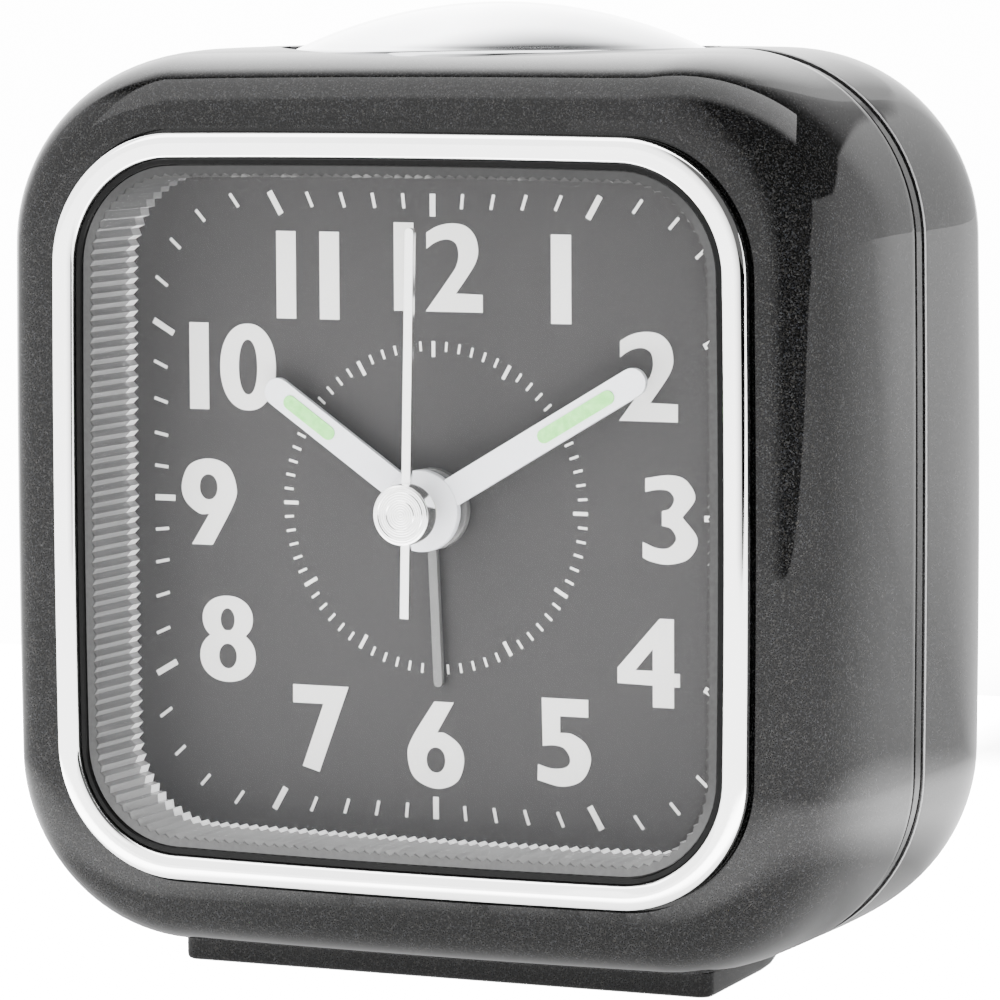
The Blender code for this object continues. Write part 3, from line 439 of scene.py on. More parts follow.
def ribbed_look(name, levels):
    """Clear ribbed wall painted with light and shade: a painted glow where a rib meets the dial, painted
    shade darker towards the top, and an emission of that painted shade, so the wall glows though it is no
    lamp.
    """
    look = Look(name, (0.1, 0.1, 0.1), 0.14, 0.0, Specular_IOR_Level=0.1, Coat_Weight=0.25,
                Coat_Roughness=0.05)
    place = look.axes()
    sums = Sums(look.tree)
    front, low = (DIAL_Y + WALL_FRONT_Y) * MM, (DIAL_Z - WALL_INNER) * MM
    depth = sums("DIVIDE", sums("SUBTRACT", place["Y"], front), DIAL_Y * MM - front)
    rise = sums("DIVIDE", sums("SUBTRACT", place["Z"], low), 2 * WALL_INNER * MM)
    # Painted glow: the wall is brighter where each rib meets the dial, standing in for light coming through
    # the clear plastic.
    painted_dial_glow = look.ramp(depth, (0.0, 0.03), (0.03, levels[0]), (0.8, levels[1]), (0.815, levels[2]),
                     (1.0, levels[2]))
    # Painted shade: this height ramp darkens the wall towards the top.
    height = look.ramp(rise, (0.0, 1.0), (0.05, 1.0), (0.14, 0.78), (0.93, 0.74), (0.985, 0.36),
                       (1.0, 0.36))
    streaks = look.ramp(look.noise(1.0, 2.0, look.stretched(2600.0, 120.0, 2600.0)), (0.32, 0.8),
                        (0.68, 1.0))
    shade = look.mixed(1.0, look.mixed(1.0, painted_dial_glow, streaks, "MULTIPLY"), height, "MULTIPLY")
    look.into("Base Color", shade)
    # Painted light: the wall emits its own painted shade and glows though it is no lamp.
    look.into("Emission Color", shade)
    look.set("Emission Strength", 1.3)
    return look.material


def plain_look(name, colour, roughness, metallic=0.0, grain=900.0, depth=0.0, spread=0.05, **values):
    """Moulded or rolled surface with a fine grain in its colour, gloss and height."""
    look = Look(name, colour, roughness, metallic, **values)
    low = tuple(c * (1 - spread) for c in colour)
    high = tuple(min(c * (1 + spread), 1) for c in colour)
    look.into("Base Color", look.ramp(look.noise(grain), (0.3, low), (0.7, high)))
    look.into("Roughness", look.ramp(look.noise(grain * 0.37), (0.3, roughness * 0.85),
                                     (0.7, roughness * 1.15)))
    if depth:
        look.bump(look.noise(grain * 2.2), 0.5, depth * MM)
    return look.material


def turned_metal_look(name="turned_silver"):
    """Bright metal with fine concentric tool marks round the hands' axis."""
    look = Look(name, (0.8, 0.8, 0.79), 0.17, 1.0)
    place = look.add("ShaderNodeVectorMath", operation="SUBTRACT")
    look.link(look.place, place.inputs[0])
    place.inputs[1].default_value = world(0, 0, 0)
    flat = look.add("ShaderNodeVectorMath", operation="MULTIPLY")
    flat.inputs[1].default_value = (1, 0, 1)
    look.link(place.outputs[0], flat.inputs[0])
    reach = look.add("ShaderNodeVectorMath", operation="LENGTH")
    look.link(flat.outputs[0], reach.inputs[0])
    sums = Sums(look.tree)
    wave = sums("MULTIPLY", reach.outputs["Value"], 2 * pi / (0.2 * MM))
    look.bump(sums("SINE", wave), 0.5, 0.012 * MM)
    look.into("Base Color", look.ramp(look.noise(1500.0), (0.3, (0.9, 0.9, 0.89)),
                                      (0.7, (0.97, 0.97, 0.96))))
    return look.material


def lume_look():
    look = Look("green_lume", (0.42, 0.9, 0.34), 0.7)
    look.into("Base Color", look.ramp(look.noise(2200.0), (0.3, (0.2, 0.72, 0.15)),
                                      (0.7, (0.32, 0.88, 0.25))))
    look.bump(look.noise(6000.0), 0.6, 0.02 * MM)
    return look.material


PAINT = paint_look()
# The rear shell's paint carries a painted highlight on the rounded edge behind the seam lip.
REAR_PAINT_HIGHLIGHT = paint_look("charcoal_flake_paint_rear_highlight", LIP_END_Y + 0.16)
CHROME = chrome_look()
CLEAR = clear_look()
# Lit and shaded copies of one clear rib material: painted light on one side of each rib, painted shade on
# the other.
RIB_PAINTED_LIT = ribbed_look("clear_rib_painted_lit", (0.2, 0.27, 1.0))
RIB_PAINTED_SHADE = ribbed_look("clear_rib_painted_shade", (0.11, 0.13, 0.24))
TURNED = turned_metal_look()
LUME = lume_look()
DIAL = plain_look("satin_grey_dial", (0.039, 0.0378, 0.0378), 0.6, grain=5200.0, spread=0.07,
                  Specular_IOR_Level=0.1)
PRINT = plain_look("dial_print", (0.78, 0.775, 0.76), 0.55, grain=4000.0, spread=0.03,
                   Specular_IOR_Level=0.2)
HAND_WHITE = plain_look("hand_white", (0.83, 0.84, 0.88), 0.38, grain=1800.0, spread=0.02)
HAND_GREY = plain_look("hand_grey", (0.12, 0.12, 0.118), 0.35, grain=1800.0, spread=0.05)
SILVER = plain_look("silver_hand", (0.93, 0.93, 0.925), 0.2, 1.0, grain=2500.0, spread=0.04)
SNOOZE = plain_look("snooze_chrome", (0.42, 0.425, 0.435), 0.07, 1.0, grain=300.0, spread=0.02)
BLACK = plain_look("black_gasket", (0.004, 0.004, 0.004), 0.2, grain=2000.0, spread=0.2,
                   Specular_IOR_Level=0.05)
SHADOW_BLACK = plain_look("black_plastic", (0.012, 0.012, 0.012), 0.5, grain=1500.0, depth=0.02, spread=0.2)
KNOB_GREY = plain_look("knob_grey", (0.05, 0.05, 0.052), 0.42, grain=1700.0, depth=0.03, spread=0.12)
STEEL = plain_look("bright_steel", (0.6, 0.6, 0.62), 0.28, 1.0, grain=1300.0, spread=0.06)
CAN = plain_look("battery_can", (0.55, 0.55, 0.57), 0.32, 1.0, grain=700.0, spread=0.06)
SLEEVE = plain_look("battery_sleeve", (0.02, 0.03, 0.07), 0.25, grain=500.0, spread=0.1, Coat_Weight=0.4)
SLEEVE_BAND = plain_look("battery_band", (0.55, 0.36, 0.12), 0.3, 0.6, grain=900.0, spread=0.06,
                         Coat_Weight=0.4)
NATURAL = plain_look("natural_acetal", (0.72, 0.71, 0.64), 0.42, grain=1200.0, spread=0.04)
MOVEMENT = plain_look("movement_white", (0.68, 0.68, 0.66), 0.5, grain=1000.0, depth=0.02, spread=0.04)
BRASS = plain_look("brass", (0.72, 0.52, 0.22), 0.25, 1.0, grain=1600.0, spread=0.06)
COPPER = plain_look("enamelled_copper", (0.6, 0.22, 0.09), 0.3, 1.0, grain=5200.0, depth=0.05, spread=0.25)
BOARD = plain_look("board_green", (0.02, 0.13, 0.05), 0.35, grain=600.0, spread=0.2, Coat_Weight=0.5)


# ---------------------------------------------------------------- case

def oval(half_x, half_y, z, steps=96):
    return [(half_x * cos(2 * pi * i / steps), BUTTON_Y + half_y * sin(2 * pi * i / steps), z)
            for i in range(steps)]


def well_cutter():
    hole_x, hole_y = BUTTON_HALF_X + 0.4, BUTTON_HALF_Y + 0.4
    loops = [oval(hole_x, hole_y, 31.0), oval(hole_x, hole_y, WELL_FLOOR_Z),
             oval(hole_x + 0.7, hole_y + 0.7, WELL_FLOOR_Z), oval(hole_x + 0.7, hole_y + 0.7, 45.0)]
    return finish_piece("cutter", skin(loops), PAINT, None, smooth=0)


def box_cutter(low, high):
    return finish_piece("cutter", add_box(bmesh.new(), low, high), PAINT, None, smooth=0)


def round_cutter(radius, front, back, centre, steps=40):
    profile = [(0, front), (radius, front), (radius, back), (0, back)]
    return finish_piece("cutter", turned(bmesh.new(), profile, centre, steps), PAINT, None, smooth=0)


def carved_shell(name, levels, node, look, joined, cutters, bend=30):
    """Case half swept through its levels; cutting keeps the sweep's own smooth normals."""
    loops = [case_loop(half, y) for half, y in levels]
    wrap = levels[0][0] > 20
    shell = finish_piece(name, skin(loops, wrap), look, None, smooth=bend)
    whole = shell.data.copy()
    whole.calc_loop_triangles()
    corner_normals = [Vector(normal.vector) for normal in whole.corner_normals]
    triangles = [tuple(triangle.loops) for triangle in whole.loop_triangles]
    tree = BVHTree.FromPolygons([v.co for v in whole.vertices],
                                [tuple(triangle.vertices) for triangle in whole.loop_triangles])
    if joined:
        carve(shell, *joined, operation="UNION")
    carve(shell, *cutters)
    mesh = shell.data
    normals = []
    for polygon in mesh.polygons:
        spot, flat, index, distance = tree.find_nearest(polygon.center)
        on_sweep = distance < 2e-5 and abs(flat.dot(polygon.normal)) > 0.995
        for loop in polygon.loop_indices:
            point = mesh.vertices[mesh.loops[loop].vertex_index].co
            if not on_sweep:
                normals.append(polygon.normal.copy())
                continue
            spot, flat, near, distance = tree.find_nearest(point)
            if abs(flat.dot(polygon.normal)) < 0.9:
                near = index
            corners = [whole.vertices[whole.loops[i].vertex_index].co for i in triangles[near]]
            blended = barycentric(point, corners, [corner_normals[i] for i in triangles[near]])
            if blended.dot(polygon.normal) < 0.6:
                blended = polygon.normal.copy()
            normals.append(blended)
    mesh.polygons.foreach_set("use_smooth", [True] * len(mesh.polygons))
    mesh.normals_split_custom_set(normals)
    bpy.data.meshes.remove(whole)
    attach(shell, "clock")
    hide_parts(node)
    return shell


def barycentric(point, corners, values):
    """Value at a point of a triangle, blended from the values at its corners."""
    a, b, c = corners
    v0, v1, v2 = b - a, c - a, point - a
    d00, d01, d11, d20, d21 = v0.dot(v0), v0.dot(v1), v1.dot(v1), v2.dot(v0), v2.dot(v1)
    bottom = d00 * d11 - d01 * d01
    if abs(bottom) < 1e-24:
        return values[0].copy()
    v = min(max((d11 * d20 - d01 * d21) / bottom, 0), 1)
    w = min(max((d00 * d21 - d01 * d20) / bottom, 0), 1 - v)
    return (values[0] * (1 - v - w) + values[1] * v + values[2] * w).normalized()


def rounded(half, y, radius, start, end, steps=5):
    """Levels round an edge: the angle runs from start to end in degrees, 0 outwards, 90 backwards."""
    levels = []
    for i in range(steps + 1):
        angle = radians(start + (end - start) * i / steps)
        levels.append((half + radius * cos(angle), y + radius * sin(angle)))
    return levels


def front_case():
    edge = 0.22
    levels = [(swept_half(y, FRONT_EDGE_Y, BEZEL_HALF, FRONT_POWER), y)
              for y in reversed(swept_levels(SEAM_Y - edge, FRONT_EDGE_Y, 44))]
    levels += rounded(CASE_HALF - edge, SEAM_Y - edge, edge, 18, 90)
    levels += [(35.1, SEAM_Y), (35.1, 1.5), (34.3, -2.0), (32.5, -4.2), (29.5, -4.6), (29.5, -6.5),
               (BEZEL_HALF, -6.5)]
    return carved_shell("front_shell", levels, "front_case", PAINT, [], [well_cutter()])


def rear_case():
    edge = 0.22
    levels = [(2.0, 29.7), (29.0, 29.7), (33.0, 27.6), (34.6, 23.0), (34.9, 16.0), (33.2, 13.5),
              (33.2, 10.5)]
    levels += [(34.8, 10.5), (34.8, SEAM_Y + 0.3), (36.3, SEAM_Y + 0.3), (36.3, SEAM_Y + 0.7),
               (LIP_HALF - 0.06, SEAM_Y + 0.7), (LIP_HALF, SEAM_Y + 0.76), (LIP_HALF, LIP_END_Y - 0.25),
               (LIP_HALF - 0.3, LIP_END_Y - 0.2), (LIP_HALF - 0.3, LIP_END_Y)]
    levels += rounded(CASE_HALF - edge, LIP_END_Y + edge, edge, -90, -9)
    levels += [(swept_half(y, REAR_Y, REAR_FLAT_HALF, REAR_POWER), y)
               for y in swept_levels(LIP_END_Y + 0.3, REAR_Y, 40)]
    levels += [(half, REAR_Y) for half in (24.0, 16.0, 8.0, 2.0)]
    joined = [box_cutter((-28.1, 13.4, BATTERY_Z - 8.7), (28.1, 30.5, BATTERY_Z + 8.7))]
    joined += [round_cutter(3.9, 14.5, 30.5, axis) for axis in SCREWS]
    cutters = [well_cutter(), box_cutter((-26.9, 14.6, BATTERY_Z - 7.5), (26.9, 33.0, BATTERY_Z + 7.5)),
               box_cutter((-4.4, 28.0, SLIDER_Z - 1.7), (4.4, 33.0, SLIDER_Z + 1.7))]
    cutters += [round_cutter(1.6, 28.0, 33.0, (side * KNOB_X, 0)) for side in (-1, 1)]
    for axis in SCREWS:
        cutters += [round_cutter(2.9, 16.0, 33.0, axis), round_cutter(1.5, 13.0, 16.5, axis)]
    for row in range(5):
        z = SOUNDER_Z + 2.8 * (row - 2)
        half = 8.0 - 1.2 * abs(row - 2)
        cutters.append(box_cutter((-half, 28.0, z - 0.6), (half, 33.0, z + 0.6)))
    return carved_shell("rear_shell", levels, "rear_case", REAR_PAINT_HIGHLIGHT, joined, cutters)


# ---------------------------------------------------------------- front

def trim_ring():
    section = [(RING_INNER, RING_BACK_Y), (RING_INNER, RING_FRONT_Y + 0.22),
               (RING_INNER + 0.06, RING_FRONT_Y + 0.08), (RING_INNER + 0.2, RING_FRONT_Y),
               (RING_OUTER - 0.42, RING_FRONT_Y),
               (RING_OUTER - 0.2, RING_FRONT_Y + 0.06), (RING_OUTER - 0.05, RING_FRONT_Y + 0.22),
               (RING_OUTER, RING_FRONT_Y + 0.45), (RING_OUTER, RING_BACK_Y)]
    finish_piece("chrome_ring", skin([ring_loop(half, y) for half, y in section], wrap=True), CHROME,
                 "clock", ["trim_ring"], smooth=50)


def even_path(points, count):
    """Points at even steps round a closed path, each with its outward direction."""
    lengths = [0.0]
    for here, there in zip(points, points[1:] + points[:1]):
        lengths.append(lengths[-1] + hypot(there[0] - here[0], there[1] - here[1]))
    spots = []
    leg = 0
    for step in range(count):
        reach = lengths[-1] * step / count
        while lengths[leg + 1] < reach:
            leg += 1
        here, there = points[leg], points[(leg + 1) % len(points)]
        span = lengths[leg + 1] - lengths[leg]
        share = (reach - lengths[leg]) / span
        along = ((there[0] - here[0]) / span, (there[1] - here[1]) / span)
        spots.append(((here[0] + (there[0] - here[0]) * share, here[1] + (there[1] - here[1]) * share),
                      (along[1], -along[0])))
    return spots


def clear_wall():
    """Ribbed clear wall between lens and dial, with its flat front band."""
    corner = RING_CORNER - (RING_OUTER - WALL_INNER)
    ribs = 224
    per_rib = 4
    spots = even_path(round_square(WALL_INNER, corner, 0.3), ribs * per_rib)
    wave = [0.0, 0.22, 0.44, 0.22]

    def ring(y, depth, lift=0.0):
        loop = []
        for i, ((x, z), (out_x, out_z)) in enumerate(spots):
            shift = wave[i % per_rib] * depth + lift
            loop.append((x + out_x * shift, y, z + out_z * shift))
        return loop

    builder = bmesh.new()
    loops = [ring(-0.06, 1.0), ring(-0.9, 1.0), ring(-7.5, 1.0), ring(WALL_FRONT_Y, 0.5, 0.15),
             ring(WALL_FRONT_Y, 0.0, 0.95), ring(-0.06, 0.0, 0.95)]
    add_skin(builder, loops, wrap=True)
    # One side of each rib takes the painted lit copy, the other side the painted shade copy.
    for i, face in enumerate(builder.faces):
        face.material_index = 1 if i % per_rib >= per_rib // 2 else 0
    finish_piece("ribbed_wall", builder, [RIB_PAINTED_LIT, RIB_PAINTED_SHADE], "clock", ["light_guide"],
                 smooth=20)


def gasket():
    section = [(27.83, -5.0), (27.83, -7.9), (27.93, -8.0), (28.26, -8.0), (28.36, -7.9), (28.36, -5.0)]
    finish_piece("lens_gasket", skin([ring_loop(half, y) for half, y in section], wrap=True), BLACK,
                 "clock")


def lens():
    corner = RING_CORNER - (RING_OUTER - 26.7)
    loops = []
    for inset, y in ((0.2, -7.95), (0.0, -7.8), (0.0, -7.3), (0.2, -7.15)):
        loops.append([(x, y, z) for x, z in round_square(26.7 - inset, corner - inset, 0.3)])
    finish_piece("lens_plate", skin(loops), CLEAR, "clock", ["lens"])


# ---------------------------------------------------------------- dial

def smooth_line(points, steps=8):
    """Closed outline through points; those marked True are corners, the others flow."""
    outline = []
    count = len(points)
    for i in range(count):
        (x1, z1, c1), (x2, z2, c2) = points[i], points[(i + 1) % count]
        before = points[i - 1] if not c1 else (2 * x1 - x2, 2 * z1 - z2, True)
        after = points[(i + 2) % count] if not c2 else (2 * x2 - x1, 2 * z2 - z1, True)
        if c1 and c2:
            outline.append((x1, z1))
            continue
        for step in range(steps):
            t = step / steps
            spot = []
            for p0, p1, p2, p3 in ((before[0], x1, x2, after[0]), (before[1], z1, z2, after[1])):
                spot.append(0.5 * (2 * p1 + (p2 - p0) * t + (2 * p0 - 5 * p1 + 4 * p2 - p3) * t * t
                                   + (3 * p1 - p0 - 3 * p2 + p3) * t ** 3))
            outline.append(tuple(spot))
    return outline


def loop_of(centre, radii, power=2.0, steps=48):
    outline = []
    for i in range(steps):
        c, s = cos(2 * pi * i / steps), sin(2 * pi * i / steps)
        outline.append((centre[0] + radii[0] * abs(c) ** (2 / power) * (1 if c >= 0 else -1),
                        centre[1] + radii[1] * abs(s) ** (2 / power) * (1 if s >= 0 else -1)))
    return outline


C, S = True, False
GLYPHS = {
    "1": [[(0, 0, C), (0.245, 0, C), (0.245, 1, C), (0, 1, C)]],
    "2": [[(0.013, 0.709, C), (0.013, 0.891, C), (0.15, 0.965, S), (0.327, 1, S), (0.5, 0.97, S),
           (0.615, 0.86, S), (0.654, 0.7, S), (0.625, 0.57, S), (0.54, 0.43, S), (0.375, 0.208, C),
           (0.707, 0.2, C), (0.707, 0, C), (0, 0, C), (0.327, 0.431, S), (0.39, 0.54, S),
           (0.412, 0.649, S), (0.385, 0.765, S), (0.3, 0.815, S), (0.2, 0.81, S), (0.1, 0.77, S)]],
    "3": [[(0.033, 0.804, C), (0.033, 0.956, C), (0.318, 1, S), (0.52, 0.95, S), (0.633, 0.753, S),
           (0.48, 0.534, C), (0.66, 0.297, S), (0.56, 0.08, S), (0.318, 0, S), (0.096, 0.027, S),
           (0, 0.068, C), (0, 0.24, C), (0.17, 0.179, S), (0.318, 0.189, S), (0.404, 0.29, S),
           (0.344, 0.4, S), (0.233, 0.432, C), (0.233, 0.595, C), (0.33, 0.63, S), (0.381, 0.735, S),
           (0.318, 0.82, S), (0.19, 0.835, S)]],
    "4": [[(0.511, 1, C), (0.683, 1, C), (0.683, 0.391, C), (0.754, 0.391, C), (0.754, 0.238, C),
           (0.683, 0.238, C), (0.683, 0, C), (0.429, 0, C), (0.429, 0.245, C), (0, 0.255, C), (0, 0.43, C)],
          [(0.429, 0.656, C), (0.429, 0.41, C), (0.216, 0.41, C)]],
    "5": [[(0.056, 1, C), (0.625, 1, C), (0.625, 0.8, C), (0.28, 0.8, C), (0.28, 0.61, C), (0.43, 0.6, S),
           (0.6, 0.49, S), (0.655, 0.3, S), (0.543, 0.08, S), (0.3, 0, S), (0, 0.06, C), (0.007, 0.24, C),
           (0.187, 0.198, S), (0.356, 0.225, S), (0.404, 0.317, S), (0.337, 0.43, S), (0.22, 0.465, S),
           (0.067, 0.454, C)]],
    "6": [[(0.338, 1, C), (0.581, 1, C), (0.372, 0.646, C), (0.48, 0.637, S), (0.655, 0.51, S),
           (0.706, 0.323, S), (0.615, 0.09, S), (0.361, 0, S), (0.09, 0.108, S), (0, 0.354, S),
           (0.057, 0.57, S)]],
    "7": [[(0, 1, C), (0.706, 1, C), (0.328, 0, C), (0.116, 0.06, C), (0.386, 0.79, C), (0, 0.79, C)]],
    "9": [[(0.35, 1, S), (0.6, 0.92, S), (0.706, 0.683, S), (0.666, 0.48, S), (0.392, 0, C), (0.126, 0, C),
           (0.352, 0.357, C), (0.22, 0.363, S), (0.05, 0.497, S), (0, 0.683, S), (0.1, 0.916, S)]],
}
COUNTERS = {"6": ((0.355, 0.329), (0.118, 0.145)), "9": ((0.348, 0.671), (0.116, 0.146))}
NUMERAL_HEIGHT = 7.1
# Digit, left edge and foot of each figure, from the dial's centre
NUMERALS = (("1", -3.45, 15.85), ("2", -0.65, 15.85), ("1", 10.35, 15.1), ("2", 16.2, 7.55),
            ("3", 18.2, -3.75), ("4", 16.0, -15.2), ("5", 9.0, -22.0), ("6", -2.5, -22.8),
            ("7", -12.8, -22.0), ("8", -21.3, -15.0), ("9", -22.85, -3.75), ("1", -22.0, 7.4),
            ("0", -19.2, 7.4), ("1", -14.0, 15.0), ("1", -10.1, 15.0))


def figure(builder, digit, x, z, front):
    def placed(outline):
        return [(x + u * NUMERAL_HEIGHT, z + v * NUMERAL_HEIGHT) for u, v in outline]

    if digit == "0":
        add_plate(builder, [placed(loop_of((0.357, 0.5), (0.357, 0.5), 2.15)),
                            placed(loop_of((0.357, 0.5), (0.119, 0.3165), 2.2))], front, 0.02)
        return
    if digit == "8":
        bowls = (((0.36, 0.735), (0.324, 0.265), (0.36, 0.723), (0.092, 0.132), front),
                 ((0.36, 0.3), (0.358, 0.3), (0.36, 0.3), (0.116, 0.144), front - 0.004))
        for centre, radii, hole, hole_radii, level in bowls:
            add_plate(builder, [placed(loop_of(centre, radii, 2.1)), placed(loop_of(hole, hole_radii))],
                      level, 0.02)
        return
    outlines = [placed(smooth_line(points)) for points in GLYPHS[digit]]
    if digit in COUNTERS:
        outlines.append(placed(loop_of(*COUNTERS[digit], 2.1)))
    add_plate(builder, outlines, front, 0.02)


def reach_at(angle, half, corner):
    """Distance from the centre to a round square, in the direction of the angle."""
    direction = Vector((sin(angle), cos(angle)))
    low, high = 0.0, half * 1.5
    for _ in range(40):
        middle = (low + high) / 2
        x, z = abs(direction.x * middle), abs(direction.y * middle)
        flat = half - corner
        if x > flat and z > flat:
            inside = hypot(x - flat, z - flat) < corner
        else:
            inside = max(x, z) < half
        low, high = (middle, high) if inside else (low, middle)
    return low


def tick(builder, angle, start, end, width, front):
    across = (cos(angle) * width / 2, -sin(angle) * width / 2)
    along = (sin(angle), cos(angle))
    corners = []
    for reach, side in ((start, -1), (start, 1), (end, 1), (end, -1)):
        corners.append((along[0] * reach + across[0] * side, along[1] * reach + across[1] * side))
    add_plate(builder, [corners], front, 0.02)


def dial_print():
    figures = bmesh.new()
    for digit, x, z in NUMERALS:
        figure(figures, digit, x, z, -0.04)
    finish_piece("dial_numerals", figures, PRINT, "clock", smooth=0)
    marks = bmesh.new()
    for i in range(60):
        angle = 2 * pi * i / 60
        long = i % 5 == 0
        inner = 23.47 if long else 24.09
        tick(marks, angle, reach_at(angle, inner, 9.15 - (25.29 - inner)), reach_at(angle, 25.29, 9.15),
             0.49 if long else 0.26, -0.03)
    for i in range(72):
        long = i % 6 == 0
        tick(marks, 2 * pi * i / 72, 12.2 if long else 12.68, 13.46, 0.3 if long else 0.2, -0.03)
    finish_piece("dial_marks", marks, PRINT, "clock", smooth=0)


# ---------------------------------------------------------------- hands

def blade(start, length, width, clockwise, steps=12, round_start=False):
    """Outline of a hand with a round tip, turned clockwise from twelve o'clock."""
    half = width / 2
    arc = [(half * cos(pi * i / steps), half * sin(pi * i / steps)) for i in range(steps + 1)]
    points = [(x, length - half + z) for x, z in arc]
    if round_start:
        points += [(-x, start + half - z) for x, z in arc]
    else:
        points += [(-half, start), (half, start)]
    turn = radians(-clockwise)
    return [(x * cos(turn) - z * sin(turn), x * sin(turn) + z * cos(turn)) for x, z in points]


def hand(name, node, body, look, length, width, level, clockwise, hub, hole, thick=0.5):
    builder = add_plate(bmesh.new(), [blade(hole + 0.5, length, width, clockwise)], level - thick / 2,
                        level + thick / 2)
    front, back = level - 0.38, level + 0.3
    profile = [(hole, back), (hole, front), (hub - 0.15, front), (hub - 0.04, front + 0.04),
               (hub, front + 0.15), (hub, back)]
    turned(builder, profile, steps=64, wrap=True)
    return finish_piece(name, builder, look, body, [node], smooth=30, bevel=0.05)


def hands():
    hand("hour_pointer", "hour_hand", "hours", HAND_WHITE, 17.2, HAND_WIDTH,
         HOUR_LEVEL, HOUR_TURN, HIDDEN_HUB_R, 1.95)
    hand("minute_pointer", "minute_hand", "minutes", HAND_WHITE, 22.5, HAND_WIDTH,
         MINUTE_LEVEL, MINUTE_TURN, HUB_R, 1.35)
    hand("alarm_pointer", "alarm_hand", "alarm_time", HAND_GREY, 14.4, THIN_WIDTH,
         ALARM_LEVEL, ALARM_TURN, HUB_R, 1.95)
    stripes = (("hour_lume", "hours", 9.9, 15.2, HOUR_LEVEL - LUME_LIFT, HOUR_TURN),
               ("minute_lume", "minutes", 12.0, 19.5, MINUTE_LEVEL - LUME_LIFT, MINUTE_TURN))
    for name, body, start, end, level, clockwise in stripes:
        stripe = add_plate(bmesh.new(), [blade(start, end, 1.15, clockwise, round_start=True)],
                           level - 0.09, level + 0.03)
        finish_piece(name, stripe, LUME, body, bevel=0.06)


def second_hand():
    profile = [(0, -4.95), (2.45, -4.95), (2.45, -6.25), (2.4, -6.36), (2.3, -6.4), (2.05, -6.4),
               (1.98, -6.34), (1.9, -6.34), (1.83, -6.4), (1.3, -6.4), (1.24, -6.35), (1.16, -6.35),
               (1.1, -6.4), (0, -6.4)]
    builder = turned(bmesh.new(), profile, steps=72)
    finish_piece("second_hub", builder, TURNED, "seconds", ["second_hand"], smooth=30)
    bar = add_plate(bmesh.new(), [blade(-8.4, 22.8, THIN_WIDTH, SECOND_TURN, steps=8)], -5.5, -5.02)
    finish_piece("second_blade", bar, SILVER, "seconds", bevel=0.05)


# ---------------------------------------------------------------- snooze button

def dome_height(share, radius):
    reach = BUTTON_HALF_X * share
    return BUTTON_TOP_Z - BUTTON_DOME_R + sqrt(radius ** 2 - reach ** 2)


def snooze_button():
    def loop(share, z, shift=0.0, steps=128):
        return [((BUTTON_HALF_X * share + shift) * cos(2 * pi * i / steps),
                 BUTTON_Y + (BUTTON_HALF_Y * share + shift) * sin(2 * pi * i / steps), z)
                for i in range(steps)]

    loops = [[(0, BUTTON_Y, BUTTON_TOP_Z)]]
    loops += [loop(i / 20, dome_height(i / 20, BUTTON_DOME_R)) for i in range(1, 20)]
    edge = dome_height(1.0, BUTTON_DOME_R)
    loops += [loop(1.0, dome_height(0.975, BUTTON_DOME_R) - 0.02, -0.42), loop(1.0, edge + 0.05, -0.12),
              loop(1.0, edge - 0.15, 0.0), loop(1.0, edge - 0.4), loop(1.0, BUTTON_SKIRT_Z)]
    loops += [loop(1.0, BUTTON_SKIRT_Z, -1.4), loop(1.0, edge - 1.6, -1.4)]
    loops += [loop(share, dome_height(share, BUTTON_DOME_R - 1.4)) for share in (0.75, 0.4)]
    loops += [[(0, BUTTON_Y, BUTTON_TOP_Z - 1.4)]]
    builder = skin(loops)
    stem = [(0, 26.3), (1.3, 26.3), (1.5, 26.5), (1.5, 31.5), (3.6, 31.5), (3.6, 32.3), (1.5, 32.3),
            (1.5, 39.6), (0, 39.6)]
    turned(builder, stem, (0, BUTTON_Y), 32, axis="z")
    finish_piece("snooze_cap", builder, SNOOZE, "snooze", ["snooze_button"], smooth=40)


# ---------------------------------------------------------------- foot and back

def foot_loop(z, inset, steps=8):
    """Outline of the foot: a straight front with small corners, sides that close in at the back."""
    half, front, corner = 23.55, 0.6, 1.2
    side = []
    for step in range(steps + 1):
        angle = radians(-90 + 90 * step / steps)
        side.append((half - corner + (corner - inset) * cos(angle),
                     front + corner + (corner - inset) * sin(angle)))
    rear = ((22.9, 14.0, 0.0), (22.5, 17.0, 0.1), (21.6, 20.5, 0.3), (20.0, 23.5, 0.6), (17.6, 25.6, 0.8),
            (15.5, 26.0, 1.0))
    side += [(x - inset, y - inset * share) for x, y, share in rear]
    return [(x, y, z) for x, y in side] + [(-x, y, z) for x, y in reversed(side)]


def base_foot():
    levels = ((-38.5, 0.35), (-38.42, 0.18), (-38.27, 0.05), (-38.05, 0.0), (-36.5, 0.0))
    finish_piece("foot_plate", skin([foot_loop(z, inset) for z, inset in levels]), PAINT, "clock",
                 ["base_foot"], smooth=40)


# ---------------------------------------------------------------- battery and button spring

def battery():
    """Cell with a printed sleeve between its bare metal ends, lying along x."""
    profile = [(0, -25.6), (2.4, -25.6), (2.6, -25.4), (2.6, -24.35), (6.4, -24.3), (6.8, -24.15),
               (6.95, -23.9), (6.95, -23.5), (7.1, -23.45), (7.1, -10.0), (7.1, 23.3), (7.0, 23.6),
               (6.7, 24.1), (6.2, 24.3), (0, 24.3)]
    loops = []
    for radius, x in profile:
        angles = [2 * pi * i / 64 for i in range(64 if radius else 1)]
        loops.append([(x, BATTERY_Y + radius * cos(a), BATTERY_Z + radius * sin(a)) for a in angles])
    builder = skin(loops)
    for face in builder.faces:
        spot = face.calc_center_median()
        if -23.6 < spot.x < 23.5 and hypot(spot.y - BATTERY_Y, spot.z - BATTERY_Z) > 6.9:
            face.material_index = 1 if spot.x > -10.0 else 2
    finish_piece("battery", builder, [CAN, SLEEVE, SLEEVE_BAND], "clock", ["battery_cell"],
                 smooth=40)


